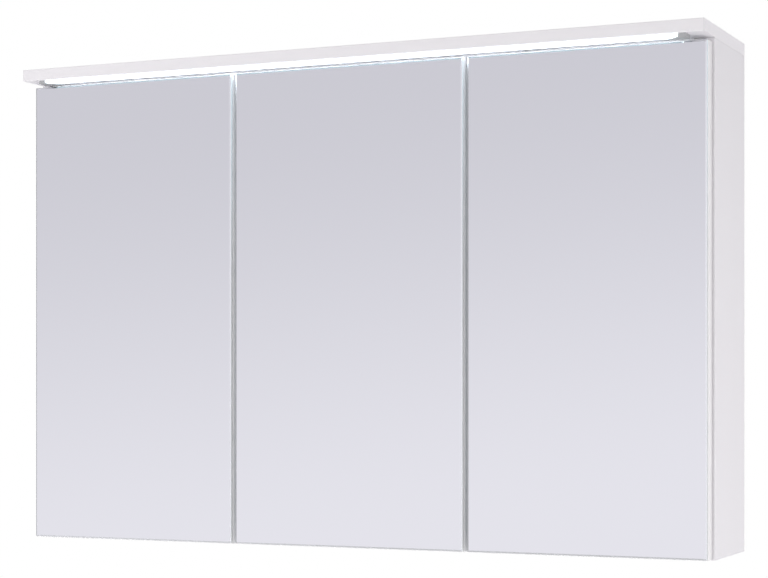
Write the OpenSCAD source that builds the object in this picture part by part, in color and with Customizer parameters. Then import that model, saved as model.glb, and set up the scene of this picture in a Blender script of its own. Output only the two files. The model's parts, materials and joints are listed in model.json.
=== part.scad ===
// Three-door bathroom mirror cabinet with a light bar under its overhanging top board.
// X runs right as seen from the front, Y runs back to the wall, Z runs up.
// The origin is the middle of the wall screw pattern, on the wall.

/* [Cabinet] */
// Width over the side panels, also the length of the top board
cab_w = 1000; // [920:10:1200]
// Height of the carcass under the top board
case_h = 657; // [620:1:720]
// Depth of the carcass, without the doors
case_d = 154; // [146:1:200]
// Thickness of the side panels
side_t = 16; // [16:1:19]
// Thickness of the bottom panel
bottom_t = 16; // [16:1:22]
// Thickness of the partitions
partition_t = 16; // [16:1:18]
// Distance of the partitions' middle planes from the cabinet's middle
partition_x = 172; // [150:1:180]
// Chamfer on the long edges of the panels
edge_c = 0.6; // [0.3:0.1:1]

/* [Top board] */
// Thickness of the top board
top_t = 16; // [16:1:25]
// How far the top board stands out in front of the mirrors
top_overhang = 26.5; // [26:0.5:45]

/* [Top rails] */
// Height of the rails that close the gap under the top board, behind the doors' top edges
rail_h = 14; // [8:1:18]
// Thickness of the rails, front to back
rail_t = 16; // [12:1:18]

/* [Back panel] */
// Thickness of the back panel
back_t = 3; // [3:0.5:5]
// Free depth between the back panel and the wall
back_recess = 15; // [14:1:20]
// Depth of the grooves that hold the back panel
groove_d = 6; // [4:0.5:7]
// Clearance of the back panel in its grooves
groove_clear = 0.15; // [0.1:0.05:0.3]

/* [Doors] */
// Thickness of the board behind each mirror
door_t = 16; // [16:0.5:18]
// Thickness of each mirror
mirror_t = 4; // [3:0.5:5]
// Thickness of the tape between mirror and board
tape_t = 0.5; // [0.4:0.1:0.8]
// Width of each strip of mirror tape
tape_w = 30; // [20:1:50]
// Gap between neighbouring doors
door_gap = 5; // [5:0.1:8]
// How far the outer doors stay inside the cabinet's sides
door_side_inset = 3; // [1:0.5:3]
// Gap between the top board and the doors
door_top_gap = 5.5; // [5.5:0.5:10]
// Height of the doors' lower edge above the carcass's underside
door_bottom_gap = 1; // [0:0.5:5]
// Gap between the doors' backs and the carcass
door_back_gap = 4; // [4:0.1:6]
// How far each mirror stays inside its board's edges
mirror_inset = 1; // [0.5:0.1:2]
// Width of the ground arris along the mirror's front edges
mirror_arris = 2; // [1:0.1:2.4]
// Depth of that arris
arris_d = 1; // [0.6:0.1:1.6]

/* [Hinges] */
// Height of the lower hinges above the carcass's underside
hinge_low = 100; // [80:1:140]
// Distance of the upper hinges below the top board
hinge_high = 107; // [90:1:150]
// Distance of the hinge pin from the door's hinge edge
pin_u = 9; // [8.6:0.1:9.2]
// Distance of the hinge pin behind the mirror's front
pin_v = 10.5; // [10.3:0.05:10.6]
// Radius of the hinge pin
pin_r = 1.25; // [1:0.05:1.3]
// Radial running clearance of the pin in the arm's eye
pin_clear = 0.05; // [0.03:0.01:0.08]
// Radial clearance of the pin in the cup's wall
pin_seat_clear = 0.02; // [0.01:0.01:0.04]
// Outer radius of the arm's eye
eye_r = 2.2; // [2.1:0.05:2.3]
// Radius of the hinge cup's hole in the door
cup_r = 17.5; // [17.5:0.1:18]
// Clearance between the cup and its hole
cup_clear = 0.1; // [0.05:0.01:0.15]
// Wood left between the cup's hole and the door's hinge edge
cup_edge = 3; // [2.5:0.1:3.2]
// Wall of the hinge cup
cup_wall = 1.6; // [1.3:0.1:1.7]
// Thickness of the cup's floor
cup_floor_t = 0.5; // [0.4:0.05:0.6]
// Thickness of the flange on the door's back
flange_t = 1.4; // [1:0.1:1.6]
// Width of the hinge arm, along the pin
arm_w = 14; // [10:0.5:15]
// Thickness of the hinge arm
arm_t = 2.4; // [2:0.1:2.6]
// Reach of the arm's neck from the pin to its bend
arm_reach = 13.5; // [13.2:0.1:14]
// Length of the arm inside the carcass
arm_len = 56; // [50:1:66]
// Length of the mounting plate
plate_len = 44; // [36:1:48]
// Width of the mounting plate, along the pin
plate_w = 34; // [28:1:44]

/* [Shelves] */
// Thickness of the glass shelves
shelf_t = 5; // [4:0.5:6]
// Height of the lower shelves' undersides above the carcass's underside
shelf_low = 226; // [180:1:260]
// Height of the upper shelves' undersides above the carcass's underside
shelf_high = 440; // [400:1:470]
// Gap between a shelf's end and the panel beside it
shelf_end_gap = 1; // [0.5:0.1:2]
// Distance of the shelves' front edges behind the carcass's front
shelf_front = 14; // [8:1:30]
// Gap between the shelves and the back panel
shelf_back_gap = 8; // [6:1:20]
// Radius of the shelf pins
shelf_pin_r = 2.5; // [2:0.1:2.6]
// Depth of a shelf pin in its panel
shelf_pin_in = 7; // [5:0.5:7.5]
// Length of a shelf pin outside its panel
shelf_pin_out = 9; // [6:0.5:12]
// Clearance of pins, screws, dowels and cams in their holes
hole_clear = 0.1; // [0.05:0.01:0.2]

/* [Light bar] */
// Distance of the light bar's ends inside the cabinet's ends
led_end = 25; // [15:1:60]
// Depth of the light bar, front to back
led_w = 20; // [16:1:22]
// Height of the light bar inside the top board
led_h = 10; // [8:0.5:12]
// How far the diffuser stands out below the top board
led_out = 4; // [2:0.5:4.5]
// Distance of the light bar behind the top board's front edge
led_front = 4; // [3:0.5:6]
// Length of each end cap
led_cap = 10; // [6:1:14]
// Wall of the light bar's profile
led_wall = 1.2; // [1:0.1:1.6]
// Clearance of the light bar in its groove
led_clear = 0.2; // [0.1:0.05:0.4]
// Distance between the light chips
chip_pitch = 20; // [12:1:40]

/* [Driver and switch] */
// Width of the light's driver
driver_w = 120; // [80:1:140]
// Depth of the light's driver
driver_d = 45; // [30:1:60]
// Height of the light's driver
driver_h = 22; // [16:1:30]
// Radius of the leads inside the cabinet
lead_r = 2; // [1.5:0.1:2.2]
// Width of the switch box
box_w = 110; // [100:1:140]
// Depth of the switch box
box_d = 42; // [36:1:60]
// Height of the switch box
box_h = 70; // [60:1:90]
// Wall of the switch box
box_wall = 2.5; // [2:0.1:3]
// Radius of the socket's recess
socket_r = 19; // [18:0.5:20]
// Depth of the socket's recess
socket_d = 15; // [12:0.5:18]
// Width of the switch rocker
rocker_w = 22; // [18:0.5:26]
// Height of the switch rocker
rocker_h = 36; // [28:1:40]
// Tilt of the rocker to each side
rocker_tilt = 6; // [4:0.5:8]
// Radius of the hole in the cable grommet
grommet_r = 3.75; // [3:0.25:4.5]

/* [Wall hangers] */
// Distance of the wall screws' middle below the top board
hang_down = 60; // [58:1:100]
// Distance of each wall plate's middle inside the side panel's inner face
hang_inset = 12; // [11.5:0.1:14]
// Vertical distance between a wall plate's two screw holes
screw_gap = 24; // [20:1:30]
// Radius of the wall screw holes
screw_r = 2.75; // [2:0.25:3.5]
// Width of a wall plate
wall_plate_w = 22; // [18:0.5:22]
// Height of a wall plate
wall_plate_h = 70; // [68:1:80]
// Thickness of a wall plate
wall_plate_t = 2; // [1.5:0.1:2.5]
// Thickness of the hanger's hook
hook_t = 2.5; // [2:0.1:3]

/* [Hidden] */

$fn = 48;

// Colours
melamine = [0.93, 0.93, 0.93];
melamine_inside = [0.9, 0.9, 0.9];
silver = [0.8, 0.81, 0.85];
steel = [0.72, 0.73, 0.75];
zinc = [0.65, 0.66, 0.68];
glass_tint = [0.8, 0.9, 0.88];
opal = [0.97, 0.98, 1];
plastic_grey = [0.6, 0.61, 0.63];
plastic_white = [0.95, 0.95, 0.94];
beech = [0.85, 0.72, 0.52];
clear_rubber = [0.88, 0.89, 0.9];

// Planes of the carcass and the doors, from the wall forwards
case_y = -case_d;
door_back_y = case_y - door_back_gap;
door_front_y = door_back_y - door_t;
mirror_back_y = door_front_y - tape_t;
mirror_y = mirror_back_y - mirror_t;
top_y = mirror_y - top_overhang;
back_y = -back_recess - back_t;
half_w = cab_w / 2;
bay_x = half_w - side_t;
part_in = partition_x - partition_t / 2;
part_out = partition_x + partition_t / 2;

// Doors: left end, right end, hinge end
left_x0 = -half_w + door_side_inset;
left_x1 = -partition_x - door_gap / 2;
mid_x0 = -partition_x + door_gap / 2;
mid_x1 = -mid_x0;
door_z0 = door_bottom_gap;
door_z1 = case_h - door_top_gap;
hinge_zs = [hinge_low, case_h - hinge_high];
behind = door_t + tape_t + mirror_t;

// The hinge's own axes: u from the door's hinge edge inwards, v behind the mirror
cup_u = cup_edge + cup_r;
eye_gap = 0.15;
cup_floor_v = pin_v - eye_r - eye_gap - cup_floor_t;
cup_hole_v = cup_floor_v - cup_clear / 2;
// Half the pin's length, so that its ends stay inside the cup's wall
pin_half = sqrt(pow(cup_r - cup_clear, 2) - pow(cup_u - pin_u + pin_r, 2)) - cup_clear;
arm_u = pin_u + arm_reach;
case_v = behind + door_back_gap;
arm_end_v = case_v + arm_len;
plate_v = case_v + (arm_len - plate_len) / 2;
flange_half = 27;
flange_u0 = 6.5;
flange_u1 = 37;
cup_screw_z = 22;
cup_screw_u = 30;
cup_screw_r = 1.8;
cup_screw_len = 11;
cup_screw_head_r = 3.2;
cup_screw_head_h = 0.9;
plate_screw_r = 2;
plate_screw_len = 11;
plate_screw_head_r = 3.6;
plate_screw_head_h = 1.4;
plate_screw_edge = 5;
plate_screw_out = plate_w / 2 - plate_screw_edge;
plate_base_t = 3;
plate_wing = 9;
plate_mid_v = plate_v + plate_len / 2;
// The arm's fixing and adjusting screws, from the plate's middle
arm_screws = [-8, 12];
arm_screw_r = 1.5;
arm_screw_in = 5;
arm_screw_head_r = 3;
arm_screw_head_h = 1.6;
arm_hole_r = 2.1;
// Cross slots of the screws
cross_w = 0.8;
cross_share = 1.3;
cross_d = 0.5;
// Room left at the end of a blind hole
blind_gap = 0.5;
bumper_r = 3;
bumper_z = 30;
bumper_gap = 0.3;
// Distance of a bumper's middle from the free edge, on outer and middle doors
bumper_outer_u = 3.5;
bumper_middle_u = 3;
tape_margin = 12;

// Cam fittings: the bolt's axis is the panel's middle plane
cam_r = 7.5;
cam_d = 12.5;
cam_back = 34;
bolt_r = 3;
bolt_head_r = 3.6;
bolt_head_h = 3.5;
bolt_thread_r = 2.5;
bolt_in = 11;
bolt_hole_r = 4;
cam_slot_w = 1.6;
cam_slot_l = 8;
dowel_r = 4;
dowel_up = 10;
dowel_down = 20;
cam_front = 20;
cam_gap = 44;
dowel_front = 42;
dowel_back = 14;
cam_ys = [case_y + cam_front, case_y + cam_front + cam_gap];
dowel_ys = [case_y + dowel_front, back_y - dowel_back];
uprights = [-half_w + side_t / 2, -partition_x, partition_x, half_w - side_t / 2];
// The side of each upright that its cams face: 1 is +X
cam_faces = [1, -1, 1, -1];
screw_shank_r = 2.5;
screw_head_r = 4.5;
screw_head_h = 3.5;
screw_sunk = 0.3;
screw_len = 50;
screw_key_r = 2.3;
screw_key_d = 3;

// Shelf pins and shelves
shelf_y0 = case_y + shelf_front;
shelf_y1 = back_y - shelf_back_gap;
pin_inset_y = 22;
pin_ys = [shelf_y0 + pin_inset_y, shelf_y1 - pin_inset_y];
shelf_zs = [shelf_low, shelf_high];

// Light bar
led_y0 = top_y + led_front;
led_y1 = led_y0 + led_w;
led_half = half_w - led_end - led_cap;
led_len = 2 * led_half;
led_sag = 1.2;
led_curve = (pow(led_w / 2, 2) + pow(led_sag, 2)) / (2 * led_sag);
strip_w = 12;
strip_t = 1.2;
chip = 3.5;
chip_t = 1;
strip_end = 4;
chip_n = floor((led_half - strip_end - chip) / chip_pitch);
diffuser_t = 1.5;
diffuser_leg = 1;
diffuser_leg_h = 3;
diffuser_clear = 0.1;

// Driver, leads and switch box
driver_side = 20;
driver_back = 22;
driver_x0 = part_out + driver_side;
driver_x1 = driver_x0 + driver_w;
driver_y1 = back_y - driver_back;
driver_y0 = driver_y1 - driver_d;
driver_z0 = case_h - driver_h;
driver_mid_y = (driver_y0 + driver_y1) / 2;
driver_c = 1;
lead_in = 50;
lead_x = driver_x0 + lead_in;
lead_gap = 0.4;
lead_hole_r = lead_r + 0.1;
slot_w = 2 * lead_r + 1;
slot_gap = 3;
slot_y1 = driver_y0 - slot_gap;
lead_z = case_h + lead_r + lead_gap;
lead_drop = 9;
lead_down_z = case_h - lead_drop;
driver_lead_y = slot_y1 - lead_r - lead_gap;
driver_screw_r = 1.8;
driver_screw_in = 11;
driver_screw_head_r = 3.4;
driver_screw_head_h = 1.6;
driver_ear = 12;
driver_ear_w = 12;
driver_ear_t = 3;
down_side = 20;
down_in = 40;
down_x = driver_x1 + down_side;
box_up = 14;
box_c = 1.2;
box_x1 = down_x + down_in;
box_x0 = box_x1 - box_w;
box_z0 = bottom_t + box_up;
box_z1 = box_z0 + box_h;
box_y0 = back_y - box_d;
down_y = back_y - lead_r - lead_gap;
down_drop = 12;
down_z = case_h - down_drop;
down_run_in = 12;
down_run_y = driver_y1 - down_run_in;
clip_off = 60;
top_clip_off = 90;
clip_zs = [box_z1 + clip_off, (shelf_low + shelf_high) / 2, shelf_high + top_clip_off];
clip_w = 16;
clip_h = 8;
clip_t = 1.2;
socket_side = 8;
socket_x = box_x0 + box_wall + socket_r + socket_side;
socket_z = (box_z0 + box_z1) / 2;
socket_wall = 2;
socket_rim = 3.5;
socket_lip = 2;
socket_floor = 3;
socket_hole_gap = 9.5;
socket_hole_r = 2.4;
rocker_side = 9;
rocker_x = box_x1 - box_wall - rocker_w / 2 - rocker_side;
rocker_z = socket_z;
rocker_gap = 0.8;
rocker_t = 9;
rocker_front = 5.5;
rocker_curve = 64;
rocker_pin_r = 1.5;
rocker_pin_clear = 0.06;
rocker_pin_out = 1.6;
rocker_in = 3;
rocker_pivot_y = box_y0 + rocker_in;
rocker_cheek = 2.5;
cheek_in = 1.3;
cheek_d = 12;
grommet_out_r = 7;
grommet_lip_r = 9;
grommet_lip_t = 1.5;
grommet_x = (box_x0 + box_x1) / 2;
grommet_z = socket_z;

// Wall hangers, in heights above the wall screws' middle
hang_h = case_h - hang_down;
hang_x = bay_x - hang_inset;
ledge_z = 14;
ledge_t = 3;
slot_depth = 5;
lip_t = 2;
lip_h = 9;
hook_w = 16;
hook_rise = 14;
hook_z1 = ledge_z + ledge_t + hook_rise + hook_t;
hanger_t = 24;
hanger_h = 40;
hanger_d = 56;
hanger_z0 = hook_z1 - hook_t / 2 - hanger_h / 2;
hanger_hole_clear = 0.3;
hanger_c = 1;
hook_in = 40;
cutout_side = 2;
cutout_h = 14;
adjuster_r = 3;
adjuster_len = 12;
adjuster_gap = 13;
adjuster_slot_w = 0.9;
adjuster_slot_d = 1.5;
peg_r = 2.5;
peg_in = 8;
peg_front = 12;
peg_zs = [hanger_z0 + 8, hanger_z0 + hanger_h - 8];
overcut = 1;

// Lowers a model drawn from the carcass's underside to the wall screws' middle
module placed() {
    translate([0, 0, -hang_h]) children();
}

// A box from corner a to corner b
module block(a, b) {
    translate(a) cube(b - a);
}

// A rectangle from (x0, y0) to (x1, y1) with its corners cut at 45 degrees
module cut_rect(x0, y0, x1, y1, c) {
    polygon([[x0 + c, y0], [x1 - c, y0], [x1, y0 + c], [x1, y1 - c],
        [x1 - c, y1], [x0 + c, y1], [x0, y1 - c], [x0, y0 + c]]);
}

// A panel from corner a to corner b with a chamfer on all twelve edges
module panel(a, b, c = edge_c) {
    intersection() {
        translate([0, 0, a.z]) linear_extrude(b.z - a.z) cut_rect(a.x, a.y, b.x, b.y, c);
        translate([0, b.y, 0]) rotate([90, 0, 0])
            linear_extrude(b.y - a.y) cut_rect(a.x, a.z, b.x, b.z, c);
        translate([a.x, 0, 0]) rotate([90, 0, 90])
            linear_extrude(b.x - a.x) cut_rect(a.y, a.z, b.y, b.z, c);
    }
}

// A cylinder of length l along +X, from p
module along_x(p, r, l) {
    translate(p) rotate([0, 90, 0]) cylinder(r = r, h = l);
}

// A cylinder of length l along +Y, from p
module along_y(p, r, l) {
    translate(p) rotate([-90, 0, 0]) cylinder(r = r, h = l);
}

// A cylinder of length l along +Z, from p
module along_z(p, r, l) {
    translate(p) cylinder(r = r, h = l);
}

// A round screw head that stands on z = 0, with a cross slot in its top
module screw_head(r, h) {
    difference() {
        cylinder(r = r, h = h);
        for (a = [0, 90]) rotate([0, 0, a]) translate([0, 0, h])
            cube([cross_share * r, cross_w, 2 * cross_d], center = true);
    }
}

// A round lead along straight stretches, with a ball at each bend
module lead_run(points, r) {
    for (i = [0 : len(points) - 2]) {
        step = points[i + 1] - points[i];
        length = norm(step);
        tilt = acos(step.z / length);
        turn = atan2(step.y, step.x);
        translate(points[i]) rotate([0, tilt, turn]) cylinder(r = r, h = length, $fn = 24);
    }
    for (i = [1 : len(points) - 2]) translate(points[i]) sphere(r = r, $fn = 24);
}

// Cam fittings

// A cam fitting's own axes: the joint is at z = 0, the bolt runs down, the cam faces +X
module cam_pocket(half_t) {
    translate([half_t - cam_d, 0, -cam_back]) rotate([0, 90, 0])
        cylinder(r = cam_r + hole_clear, h = cam_d + overcut);
    translate([0, 0, -cam_back]) cylinder(r = bolt_hole_r, h = cam_back + overcut);
}

module cam_lock(half_t) {
    difference() {
        translate([half_t - cam_d + hole_clear, 0, -cam_back]) rotate([0, 90, 0])
            cylinder(r = cam_r, h = cam_d - 2 * hole_clear);
        translate([0, 0, -cam_back - bolt_head_r - hole_clear])
            cylinder(r = bolt_head_r + hole_clear, h = cam_back);
        translate([half_t, 0, -cam_back]) cube([2 * cam_slot_w, cam_slot_w, cam_slot_l], center = true);
    }
}

module cam_bolt() {
    cylinder(r = bolt_thread_r, h = bolt_in);
    translate([0, 0, -cam_back]) cylinder(r = bolt_r, h = cam_back);
    translate([0, 0, -cam_back - bolt_head_h / 2]) cylinder(r = bolt_head_r, h = bolt_head_h);
}

module bolt_thread_hole() {
    translate([0, 0, -overcut]) cylinder(r = bolt_thread_r + hole_clear,
        h = bolt_in + overcut + blind_gap);
}

// Puts a cam fitting at each upright's top
module at_upright_cams(i) {
    for (y = cam_ys) translate([uprights[i], y, case_h]) mirror([cam_faces[i] < 0 ? 1 : 0, 0, 0])
        children();
}

// Puts a cam fitting at each end of the bottom panel, its cam facing down
module at_bottom_cams(sides = [-1, 1]) {
    for (s = sides) for (y = cam_ys) translate([s * bay_x, y, bottom_t / 2])
        rotate([0, 90 * s, 0]) mirror([s < 0 ? 1 : 0, 0, 0]) children();
}

module dowel_holes(x) {
    for (y = dowel_ys) along_z([x, y, case_h - dowel_down], dowel_r + hole_clear,
        dowel_down + dowel_up);
}

// Carcass panels

// The back panel, or with extra its groove, as a slab that reaches into all four panels
module back_slab(extra = 0) {
    block([-bay_x - groove_d - extra, back_y - extra, bottom_t - groove_d - extra],
        [bay_x + groove_d + extra, back_y + back_t + extra, case_h + groove_d + extra]);
}

module shelf_pin_holes(panel_x, s) {
    for (z = shelf_zs) for (y = pin_ys)
        along_x([s > 0 ? panel_x - overcut : panel_x - shelf_pin_in - hole_clear, y, z - shelf_pin_r],
            shelf_pin_r + hole_clear, shelf_pin_in + hole_clear + overcut);
}

module plate_screw_holes(side) {
    at_plate_screws(side) translate([0, 0, -plate_screw_len - blind_gap])
        cylinder(r = plate_screw_r + hole_clear, h = plate_screw_len + blind_gap + overcut);
}

module side_panel_blank(s) {
    difference() {
        panel([min(s * half_w, s * bay_x), case_y, 0], [max(s * half_w, s * bay_x), 0, case_h]);
        back_slab(groove_clear);
        at_upright_cams(s < 0 ? 0 : 3) cam_pocket(side_t / 2);
        at_bottom_cams([s]) bolt_thread_hole();
        dowel_holes(s * (half_w - side_t / 2));
        shelf_pin_holes(s * bay_x, s);
        translate([s * bay_x, 0, 0]) hanger_peg_holes(s);
    }
}

module left_side_panel() {
    color(melamine) placed() difference() {
        side_panel_blank(-1);
        plate_screw_holes(0);
    }
}

module right_side_panel() {
    color(melamine) placed() difference() {
        side_panel_blank(1);
        plate_screw_holes(2);
    }
}

module bottom_panel() {
    color(melamine_inside) placed() difference() {
        block([-bay_x, case_y, 0], [bay_x, 0, bottom_t]);
        back_slab(groove_clear);
        at_bottom_cams() cam_pocket(bottom_t / 2);
        at_partition_screws() partition_screw_hole();
    }
}

// Partition screws come up through the bottom panel, their heads sunk into it
module at_partition_screws() {
    for (s = [-1, 1]) for (y = cam_ys) translate([s * partition_x, y, 0]) children();
}

module partition_screw_hole() {
    translate([0, 0, -overcut]) cylinder(r = screw_head_r + hole_clear,
        h = screw_sunk + screw_head_h + hole_clear + overcut);
    cylinder(r = screw_shank_r + hole_clear, h = screw_len + blind_gap);
}

module partition_blank(s) {
    difference() {
        block([s * partition_x - partition_t / 2, case_y, bottom_t],
            [s * partition_x + partition_t / 2, back_y, case_h]);
        at_upright_cams(s < 0 ? 1 : 2) cam_pocket(partition_t / 2);
        dowel_holes(s * partition_x);
        shelf_pin_holes(s * part_in, s);
        shelf_pin_holes(s * part_out, -s);
        at_partition_screws() partition_screw_hole();
    }
}

module left_partition() {
    color(melamine_inside) placed() difference() {
        partition_blank(-1);
        plate_screw_holes(1);
    }
}

module right_partition() {
    color(melamine_inside) placed() partition_blank(1);
}

// One rail in each bay, between the uprights
module top_rails() {
    bays = [[-bay_x, -part_out], [-part_in, part_in], [part_out, bay_x]];
    color(melamine_inside) placed() for (b = bays)
        panel([b[0], case_y, case_h - rail_h], [b[1], case_y + rail_t, case_h]);
}

module back_panel() {
    color(melamine_inside) placed() difference() {
        back_slab(0);
        for (s = [-1, 1]) translate([s * hang_x, 0, hang_h + hook_z1 - hook_t / 2])
            cube([hook_w + 2 * cutout_side, 4 * back_recess, cutout_h], center = true);
        along_y([grommet_x, back_y - overcut, grommet_z], grommet_out_r + hole_clear,
            back_t + 2 * overcut);
    }
}

module top_board() {
    color(melamine) placed() difference() {
        panel([-half_w, top_y, case_h], [half_w, 0, case_h + top_t]);
        back_slab(groove_clear);
        for (i = [0 : 3]) at_upright_cams(i) bolt_thread_hole();
        for (x = uprights) for (y = dowel_ys) along_z([x, y, case_h - overcut], dowel_r + hole_clear,
            dowel_up + overcut + blind_gap);
        block([-led_half - led_cap - led_clear, led_y0 - led_clear, case_h - overcut],
            [led_half + led_cap + led_clear, led_y1 + led_clear, case_h + led_h + led_clear]);
        block([lead_x - slot_w / 2, led_y1 - overcut, case_h - overcut],
            [lead_x + slot_w / 2, slot_y1, lead_z + lead_r + lead_gap]);
        at_driver_screws() cylinder(r = driver_screw_r + hole_clear, h = driver_screw_in + blind_gap);
    }
}

// Shelves and their pins

module shelf(x0, x1, z) {
    color(glass_tint) placed() panel([x0 + shelf_end_gap, shelf_y0, z],
        [x1 - shelf_end_gap, shelf_y1, z + shelf_t]);
}

module left_upper_shelf() { shelf(-bay_x, -part_out, shelf_high); }
module left_lower_shelf() { shelf(-bay_x, -part_out, shelf_low); }
module middle_upper_shelf() { shelf(-part_in, part_in, shelf_high); }
module middle_lower_shelf() { shelf(-part_in, part_in, shelf_low); }
module right_upper_shelf() { shelf(part_out, bay_x, shelf_high); }
module right_lower_shelf() { shelf(part_out, bay_x, shelf_low); }

module shelf_pins() {
    color(steel) placed() for (z = shelf_zs) for (y = pin_ys) translate([0, y, z]) {
        shelf_pin_at(-bay_x, 1);
        shelf_pin_at(-part_out, -1);
        shelf_pin_at(-part_in, 1);
        shelf_pin_at(part_in, -1);
        shelf_pin_at(part_out, 1);
        shelf_pin_at(bay_x, -1);
    }
}

// A pin that starts in the panel at x and stands out towards s, its top under the shelf
module shelf_pin_at(x, s) {
    start = s > 0 ? x - shelf_pin_in : x - shelf_pin_out;
    along_x([start, 0, -shelf_pin_r], shelf_pin_r, shelf_pin_in + shelf_pin_out);
}

// Fasteners of the carcass

module cam_locks() {
    color(zinc) placed() {
        for (i = [0 : 3]) at_upright_cams(i)
            cam_lock(i == 0 || i == 3 ? side_t / 2 : partition_t / 2);
        at_bottom_cams() cam_lock(bottom_t / 2);
    }
}

module cam_bolts() {
    color(steel) placed() {
        for (i = [0 : 3]) at_upright_cams(i) cam_bolt();
        at_bottom_cams() cam_bolt();
    }
}

module wood_dowels() {
    color(beech) placed() for (x = uprights) for (y = dowel_ys)
        along_z([x, y, case_h - dowel_down + blind_gap], dowel_r, dowel_down + dowel_up - blind_gap);
}

module partition_screws() {
    color(zinc) placed() at_partition_screws() difference() {
        translate([0, 0, screw_sunk]) {
            cylinder(r = screw_head_r, h = screw_head_h);
            cylinder(r = screw_shank_r, h = screw_len - blind_gap);
        }
        cylinder(r = screw_key_r, h = screw_key_d, $fn = 6);
    }
}

// Doors

// Moves a hinge's own axes to a door: side 0 is left, 1 middle, 2 right.
// u becomes X from the door's hinge edge, v becomes Y behind the mirror.
module on_door(side) {
    if (side == 0) translate([left_x0, mirror_y, 0]) children();
    if (side == 1) translate([mid_x0, mirror_y, 0]) children();
    if (side == 2) translate([-left_x0, mirror_y, 0]) mirror([1, 0, 0]) children();
}

function door_width(side) = side == 1 ? mid_x1 - mid_x0 : left_x1 - left_x0;
// Where the panel that carries a door's hinges has its face, from the hinge edge
function face_u(side) = side == 1 ? partition_t / 2 - door_gap / 2 : side_t - door_side_inset;

module at_hinges(side) {
    on_door(side) for (z = hinge_zs) translate([0, 0, z]) children();
}

module door_board(side) {
    width = door_width(side);
    color(melamine) placed() difference() {
        on_door(side) panel([0, mirror_t + tape_t, door_z0], [width, behind, door_z1]);
        at_hinges(side) {
            along_y([cup_u, cup_hole_v, 0], cup_r, behind);
            for (s = [-1, 1]) along_y([cup_screw_u, behind + flange_t - cup_screw_len - blind_gap,
                s * cup_screw_z], cup_screw_r + hole_clear, behind);
        }
    }
}

// The mirror is a plate with a ground arris round its front
module door_mirror(side) {
    x1 = door_width(side) - mirror_inset;
    z0 = door_z0 + mirror_inset;
    z1 = door_z1 - mirror_inset;
    w = mirror_arris;
    d = arris_d;
    color(silver) placed() on_door(side) intersection() {
        translate([0, 0, z0]) linear_extrude(z1 - z0)
            polygon([[mirror_inset + w, 0], [x1 - w, 0], [x1, d], [x1, mirror_t],
                [mirror_inset, mirror_t], [mirror_inset, d]]);
        translate([mirror_inset, 0, 0]) rotate([90, 0, 90]) linear_extrude(x1 - mirror_inset)
            polygon([[0, z0 + w], [d, z0], [mirror_t, z0], [mirror_t, z1], [d, z1], [0, z1 - w]]);
    }
}

module mirror_tape(side) {
    width = door_width(side);
    margin = mirror_inset + tape_margin;
    color("white") placed() on_door(side)
        for (x = [margin, (width - tape_w) / 2, width - margin - tape_w])
            block([x, mirror_t, door_z0 + margin], [x + tape_w, mirror_t + tape_t, door_z1 - margin]);
}

module hinge_cups(side) {
    color(steel) placed() at_hinges(side) difference() {
        union() {
            along_y([cup_u, cup_floor_v, 0], cup_r - cup_clear, behind - cup_floor_v + flange_t / 2);
            block([flange_u0, behind, -flange_half], [flange_u1, behind + flange_t, flange_half]);
            along_y([cup_u, behind, 0], cup_r - cup_clear, flange_t);
        }
        along_y([cup_u, cup_floor_v + cup_floor_t, 0], cup_r - cup_clear - cup_wall, behind);
        translate([pin_u, pin_v, 0]) cylinder(r = pin_r + pin_seat_clear, h = 2 * cup_r, center = true);
        for (s = [-1, 1]) along_y([cup_screw_u, behind - overcut, s * cup_screw_z],
            cup_screw_r + hole_clear, flange_t + 2 * overcut);
    }
}

module hinge_pins(side) {
    color(steel) placed() at_hinges(side)
        translate([pin_u, pin_v, 0]) cylinder(r = pin_r, h = 2 * pin_half, center = true);
}

module cup_screws(side) {
    color(zinc) placed() at_hinges(side) for (s = [-1, 1])
        translate([cup_screw_u, behind + flange_t, s * cup_screw_z]) rotate([90, 0, 0]) {
            mirror([0, 0, 1]) screw_head(cup_screw_head_r, cup_screw_head_h);
            cylinder(r = cup_screw_r, h = cup_screw_len);
        }
}

// Soft stops on the doors' backs, near the free edge
module door_bumpers(side) {
    width = door_width(side);
    stop = side == 1 ? bumper_middle_u : bumper_outer_u;
    color(clear_rubber) placed() on_door(side) for (z = [door_z0 + bumper_z, door_z1 - bumper_z])
        along_y([width - stop, behind, z], bumper_r, door_back_gap - bumper_gap);
}

module left_door_board() { door_board(0); }
module left_door_mirror() { door_mirror(0); }
module left_mirror_tape() { mirror_tape(0); }
module left_hinge_cups() { hinge_cups(0); }
module left_hinge_pins() { hinge_pins(0); }
module left_cup_screws() { cup_screws(0); }
module left_door_bumpers() { door_bumpers(0); }
module middle_door_board() { door_board(1); }
module middle_door_mirror() { door_mirror(1); }
module middle_mirror_tape() { mirror_tape(1); }
module middle_hinge_cups() { hinge_cups(1); }
module middle_hinge_pins() { hinge_pins(1); }
module middle_cup_screws() { cup_screws(1); }
module middle_door_bumpers() { door_bumpers(1); }
module right_door_board() { door_board(2); }
module right_door_mirror() { door_mirror(2); }
module right_mirror_tape() { mirror_tape(2); }
module right_hinge_cups() { hinge_cups(2); }
module right_hinge_pins() { hinge_pins(2); }
module right_cup_screws() { cup_screws(2); }
module right_door_bumpers() { door_bumpers(2); }

// Fixed hinge parts

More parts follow.
